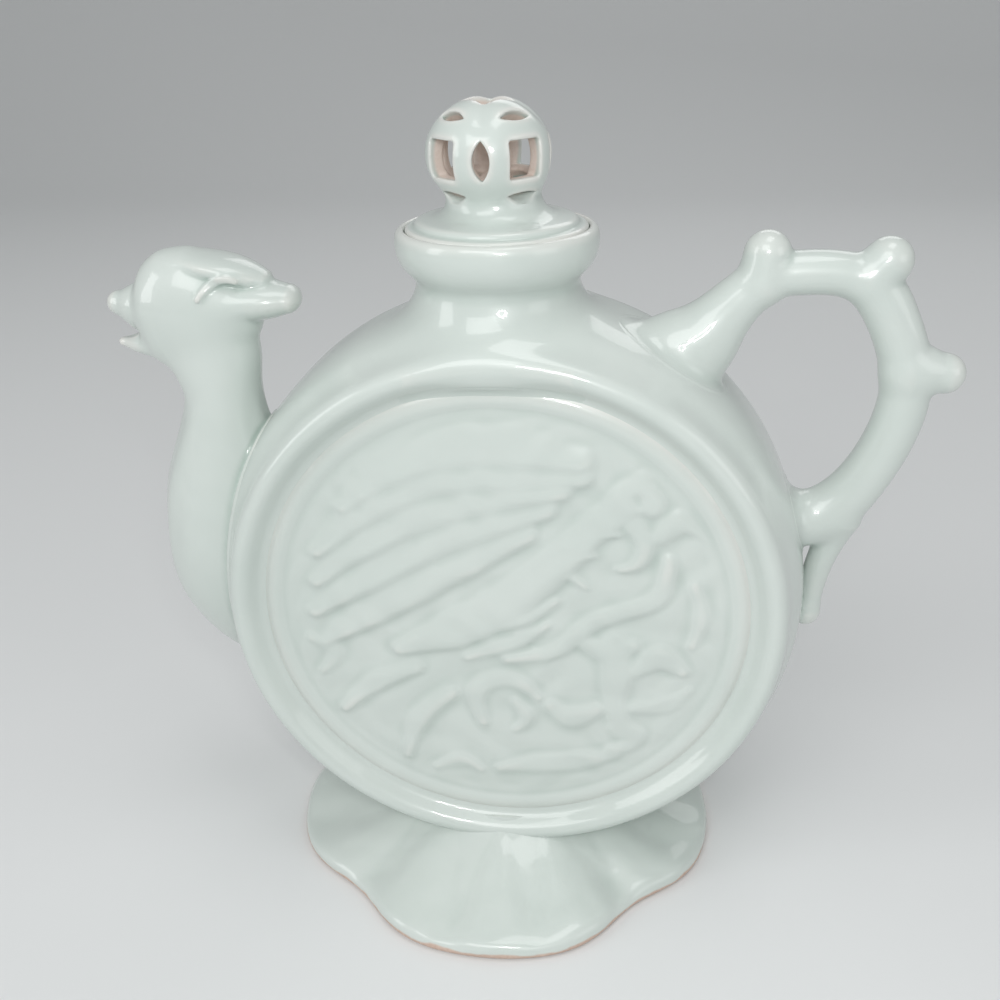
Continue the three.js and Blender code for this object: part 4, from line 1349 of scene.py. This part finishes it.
@dataclass
class Handle:
    """The loop handle: a bent rod with three knobs, and a tail with a bead down the body."""

    finish: bpy.types.Material
    luting: Luting
    knob_blend: float = 2.2
    root_blend: float = 6.0
    tail_blend: float = 1.2
    tail_top: Pair = (94.0, 106.0)
    body_bead: float = 0.25
    voxel: float = 0.5
    loop: Rod = field(init=False)
    knobs: list[Rod] = field(init=False)
    tail: list[Rod] = field(init=False)

    def __post_init__(self) -> None:
        """Draws the handle's forms."""
        self.loop = Rod([
            (39, 144, 13.0, 10.0),
            (46, 149.3, 11.6, 9.4),
            (51.2, 153.8, 9.6, 8.4),
            (55.5, 158.9, 7.3, 6.9),
            (61, 164.8, 6.0, 6.1),
            (67, 168.6, 5.4, 5.6),
            (73, 169.6, 5.4, 5.5),
            (79.5, 169.7, 5.4, 5.5),
            (86, 168.5, 5.6, 5.6),
            (91.4, 165, 6.2, 6.0),
            (95.6, 158.5, 6.2, 6.0),
            (99, 150.5, 6.2, 6.0),
            (100.8, 142, 6.2, 6.0),
            (100.2, 133.5, 6.2, 6.0),
            (97.5, 124.5, 6.2, 6.0),
            (93, 115.5, 6.4, 6.2),
            (87.6, 108.6, 7.0, 6.6),
            (81, 104.6, 7.5, 7.2),
            (73, 104, 8.0, 8.0),
        ])
        self.knobs = [
            Rod([(64.0, 167.5, 6.2, 6.2), (64.6, 171.5, 5.9, 6.0), (64.9, 174.2, 5.7, 5.7)]),
            Rod([(89.5, 168.6, 6.0, 6.0), (92.0, 171.4, 5.9, 5.9), (93.1, 172.6, 5.8, 5.8)]),
            Rod([
                (101.0, 145.2, 7.6, 6.8),
                (105.0, 145.2, 6.6, 6.1),
                (107.8, 145.0, 5.5, 5.3),
                (109.2, 144.9, 5.1, 5.05),
                (109.7, 144.8, 5.05, 5.0),
            ]),
        ]
        self.tail = [
            Rod([
                (88.4, 104, 5.6, 5.2),
                (87.0, 98, 4.1, 4.0),
                (84.8, 90.5, 3.6, 3.6),
                (83.6, 82.5, 3.2, 3.3),
                (83.1, 79, 3.3, 3.4),
            ]),
            Rod([(82.8, 77.8, 3.7, 3.7), (82.7, 76.6, 4.0, 4.1), (82.6, 76.0, 4.0, 4.1)]),
        ]

    def __call__(self, p: Array) -> Array:
        """Distances from the handle with its fillet on the body."""
        form = self.loop(p)
        for knob in self.knobs:
            form = smooth_union(form, knob(p), self.knob_blend)
        tail = smooth_union(self.tail[0](p), self.tail[1](p), 1.6)
        form = smooth_union(form, tail, 4.0)
        blend = self.tail_blend + (self.root_blend - self.tail_blend) * fade(p[:, 2], *self.tail_top)
        return self.luting.join(form, p, blend, self.body_bead)

    def build(self) -> None:
        """Skins the handle in one."""
        points, quads = surface_of(self, (20, -24, 66), (118, 24, 183), self.voxel)
        knobs = [f"handle_knob_{place}" for place in ("upper", "corner", "outer")]
        nodes = ["handle_loop", *knobs, "handle_tail", "tail_bead"]
        settle("loop_handle", mesh_from("loop_handle", points, quads), self.finish, Body.POT, nodes)


@dataclass
class Lid:
    """The lid: a stepped plate over a flange, and a stem with the hollow ball of linked coins."""

    finish: bpy.types.Material
    flange_finish: bpy.types.Material
    radius: float = 22.35
    vent: float = 2.5
    under: float = 178.1
    stem_top: float = 193.0
    lean: float = BALL_LEAN
    ball_height: float = BALL_HEIGHT
    ball_radius: float = 15.0
    ball_wall: float = 4.1
    flattening: float = BALL_FLATTENING
    coin_flat: float = 14.4
    coin_blend: float = 2.4
    stem_blend: float = 1.8
    leaning: Pair = (182.5, 196.0)
    notch: float = 0.6
    notch_rise: Pair = (4.0, 10.0)
    seam_width: float = 2.4
    hole: float = 8.6
    hole_corner: float = 0.7
    rim_round: float = 0.9
    slot_length: float = 10.0
    slot_width: float = 4.0
    slot_lift: float = 1.7
    slot_draw: float = 0.6
    slot_lifting: Pair = (4.0, 7.0)
    slot_drawing: Pair = (6.0, 9.0)
    slot_floor: float = -10.3
    flange_outer: float = 14.0
    flange_inner: float = 11.1
    flange_base: float = 166.8
    segments: int = 240
    voxel: float = 0.36

    def section(self) -> Outline:
        """The plate's and stem's section as radius and height."""
        top = [
            (self.radius, 179.4),
            (22.35, 180.5),
            (22.1, 181.1),
            (21.5, 181.45),
            (20.7, 181.5),
            (20.2, 181.75),
            (19.8, 182.4),
            (19.1, 182.95),
            (17.8, 183.25),
            (16.0, 183.5),
            (14.3, 184.0),
            (13.0, 184.9),
            (12.1, 186.1),
            (11.65, 187.5),
            (11.5, 189.0),
            (11.9, 191.0),
            (12.5, self.stem_top),
        ]
        inner = [(self.vent, self.stem_top), (self.vent, self.under)]
        base = [(self.vent, self.under), (21.4, self.under)]
        edge = [(21.4, self.under), (22.1, 178.4), (self.radius, 179.4)]
        return Outline([top, [top[-1], inner[0]], inner, base, edge])

    def finial(self) -> Field:
        """Field of the plate, the stem and the pierced ball."""
        section = self.section()
        arc = (self.slot_length**2 + self.slot_width**2) / (4 * self.slot_width)
        half = math.sqrt(0.5)

        def form(p: Array) -> Array:
            """Distances from the lid above its flange."""
            x = p[:, 0] + self.lean * fade(p[:, 2], *self.leaning)
            y, rise = p[:, 1], p[:, 2] - self.ball_height
            from_axis = np.hypot(x, y)
            coins = np.abs(np.column_stack([(x + y) * half, (x - y) * half, rise]))
            q = coins / (1, 1, self.flattening)
            away = np.linalg.norm(q, axis=1)
            high = q.max(1)
            seam = np.exp(-((np.minimum(np.abs(x), np.abs(y)) / self.seam_width) ** 2))
            dip = self.notch * seam * fade(rise, *self.notch_rise)
            ball = smooth_overlap(away - self.ball_radius + dip, high - self.coin_flat, self.coin_blend)
            ball = ball * self.flattening
            inside = (away - (self.ball_radius - self.ball_wall)) * self.flattening
            stem = section(np.column_stack([from_axis, p[:, 2]]))
            stem = smooth_cut(stem, inside - 0.1, 0.6)
            whole = smooth_union(ball, stem, self.stem_blend)
            whole = smooth_cut(whole, inside, 1.0)
            side = self.hole / 2 - self.hole_corner
            least, second, most = np.sort(coins, axis=1).T
            square = np.hypot(np.maximum(second - side, 0), np.maximum(least - side, 0)) - self.hole_corner
            square = np.where((most < 5) | (away > self.ball_radius + 1.5), FAR, square)
            below = (rise < -9) & (from_axis < 9)
            square = np.where(below, from_axis - self.vent, square)
            whole = smooth_cut(whole, square, self.rim_round)
            q[:, 2] = np.abs(rise - self.slot_lift * fade(-rise, *self.slot_lifting)) / self.flattening
            low, middle, high = np.sort(q, axis=1).T
            lens = np.hypot(low, np.abs(high - middle) * half + arc - self.slot_width / 2) - arc
            lens = lens + self.slot_draw * fade(q[:, 2], *self.slot_drawing)
            beyond = (away < 6) | (away > self.ball_radius + 1.2) | (rise < self.slot_floor)
            lens = np.where(beyond, FAR, lens)
            whole = smooth_cut(whole, lens, self.rim_round)
            return np.maximum(whole, self.under - p[:, 2])

        return form

    def build(self) -> None:
        """Skins the lid in one, and throws the flange under it."""
        points, quads = surface_of(self.finial(), (-24, -24, 176), (24, 24, 214), self.voxel)
        lid = mesh_from("lid_and_coin_finial", points, quads)
        settle("lid_and_coin_finial", lid, self.finish, Body.LID, ["lid_disc", "finial_stem", "finial_ball"])
        ring = [
            (self.flange_inner, self.under - 0.05),
            (self.flange_inner, self.flange_base + 0.8),
            (self.flange_inner + 0.5, self.flange_base),
            (self.flange_outer - 1.0, self.flange_base),
            (self.flange_outer - 0.3, self.flange_base + 0.3),
            (self.flange_outer, self.flange_base + 1.0),
            (self.flange_outer, self.under - 0.05),
        ]
        flange = turned("thrown_flange", [np.array(ring)], self.flange_finish, self.segments)
        settle("lid_flange_ring", flange, self.flange_finish, Body.LID, ["lid_flange"])


# The studio.


@dataclass
class Lamp:
    """One soft lamp: where it stands, what it looks at, its size and its power."""

    name: str
    place: Triple
    aim: Triple
    size: Pair
    power: float
    shape: str = "RECTANGLE"

    def build(self) -> None:
        """Hangs the lamp."""
        light = bpy.data.lights.new(self.name, "AREA")
        light.shape = self.shape
        light.size, light.size_y = self.size
        light.energy = self.power
        lamp = bpy.data.objects.new(self.name, light)
        lamp.location = self.place
        lamp.rotation_euler = (Vector(self.aim) - Vector(self.place)).to_track_quat("-Z", "Y").to_euler()
        bpy.context.scene.collection.objects.link(lamp)


@dataclass
class Set:
    """The sweep, the lamps and the camera at the photograph's angle."""

    focal_px: float = 1100.0
    image_px: float = 1000.0
    sensor_mm: float = 36.0
    eye_mm: Triple = (33.6, -267.0, 236.9)
    right: Triple = (0.99286, 0.11654, -0.02552)
    down: Triple = (0.02790, -0.43479, -0.90010)
    ahead: Triple = (-0.11600, 0.89296, -0.43494)
    world_light: float = 0.42
    ring_lamps: int = 8
    ring_place: Triple = (0.055, -0.33, 0.30)
    ring_radius: float = 0.03
    ring_power: float = 0.4
    lamps: list[Lamp] = field(default_factory=lambda: [
        Lamp("front_softbox", (-0.3, -0.95, 1.0), (0, 0, 0.09), (0.8, 0.6), 4.4),
        Lamp("overhead_softbox", (0.15, -0.1, 1.15), (0, 0, 0.08), (0.5, 0.4), 1.7),
        Lamp("left_window", (-1.0, -0.45, 0.5), (0, 0, 0.1), (0.35, 0.7), 2.2),
        Lamp("right_fill", (1.0, -0.55, 0.45), (0, 0, 0.1), (0.6, 0.6), 1.3),
        Lamp("rim_light", (0.2, 0.9, 0.8), (0, 0, 0.12), (0.8, 0.4), 1.4),
    ])

    def sweep(self) -> None:
        """Lays the paper sweep: a floor that curves up into a backdrop."""
        front, start, radius, top, half = -2.5, 1.0, 0.8, 3.0, 4.0
        line = [(front, 0.0), (start, 0.0)]
        for i in range(1, 25):
            angle = math.pi / 2 * i / 24
            line.append((start + radius * math.sin(angle), radius * (1 - math.cos(angle))))
        line.append((start + radius, top))
        points = [(x, y, z) for y, z in line for x in (-half, half)]
        faces = [(2 * i, 2 * i + 1, 2 * i + 3, 2 * i + 2) for i in range(len(line) - 1)]
        mesh = bpy.data.meshes.new("paper_sweep")
        mesh.from_pydata(points, [], faces)
        mesh.materials.append(Studio().material())
        mesh.polygons.foreach_set("use_smooth", np.ones(len(faces), bool))
        paper = bpy.data.objects.new("paper_sweep", mesh)
        bpy.context.scene.collection.objects.link(paper)

    def camera(self) -> None:
        """Stands the camera where the photograph was taken from."""
        lens = bpy.data.cameras.new("camera")
        lens.sensor_fit, lens.sensor_width = "HORIZONTAL", self.sensor_mm
        lens.lens = self.focal_px / self.image_px * self.sensor_mm
        lens.clip_start = 0.01
        camera = bpy.data.objects.new("camera", lens)
        across, up, back = Vector(self.right), -Vector(self.down), -Vector(self.ahead)
        turn = Matrix((across, up, back)).transposed().to_4x4()
        camera.matrix_world = Matrix.Translation(pot_axis() + Vector(self.eye_mm) * MILLIMETRE) @ turn
        bpy.context.scene.collection.objects.link(camera)
        bpy.context.scene.camera = camera

    def world(self) -> None:
        """Fills the room with even light."""
        scene = bpy.context.scene
        scene.world = bpy.data.worlds.new("room")
        scene.world.use_nodes = True
        tree = scene.world.node_tree
        tree.nodes.clear()
        even = {"Color": linear("#F4F5F6"), "Strength": self.world_light}
        glow = add_node(tree, "ShaderNodeBackground", None, even)
        add_node(tree, "ShaderNodeOutputWorld", None, {"Surface": glow.outputs[0]})
        scene.view_settings.view_transform = "Standard"

    def ring_light(self) -> None:
        """Hangs a small ring of lamps by the camera, which leaves small round glints on the glaze."""
        centre, aim = Vector(self.ring_place), Vector((0, 0, 0.12))
        turn = (aim - centre).to_track_quat("-Z", "Y")
        size, power = 2.2 * self.ring_radius / self.ring_lamps * 2, self.ring_power / self.ring_lamps
        for i in range(self.ring_lamps):
            angle = 2 * math.pi * i / self.ring_lamps
            spot = centre + turn @ Vector((math.cos(angle), math.sin(angle), 0.0)) * self.ring_radius
            Lamp(f"ring_lamp_{i + 1}", spot[:], aim[:], (size, size), power, "DISK").build()

    def build(self) -> None:
        """Sets the room, the sweep, the lamps and the camera."""
        self.world()
        self.sweep()
        for lamp in self.lamps:
            lamp.build()
        self.ring_light()
        self.camera()


def main() -> None:
    """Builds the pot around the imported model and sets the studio."""
    logging.basicConfig(level=logging.INFO, format="%(message)s")
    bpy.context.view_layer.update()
    Set().build()
    glaze = Celadon().material("celadon_glaze_on_stoneware")
    foot_glaze = Celadon().material("celadon_glaze_with_wiped_rim", Wiped.FOOT_RIM)
    lid_glaze = Celadon().material("celadon_glaze_round_bare_coins", Wiped.INSIDE_BALL)
    flask = Flask(glaze)
    luting = Luting(flask)
    flask.build()
    Relief(glaze, flask).build()
    Foot(foot_glaze).build()
    Mouth(glaze, luting).build()
    Spout(glaze, luting).build()
    Handle(glaze, luting).build()
    Lid(lid_glaze, glaze).build()
    bpy.context.view_layer.update()


if __name__ == "__main__":
    main()
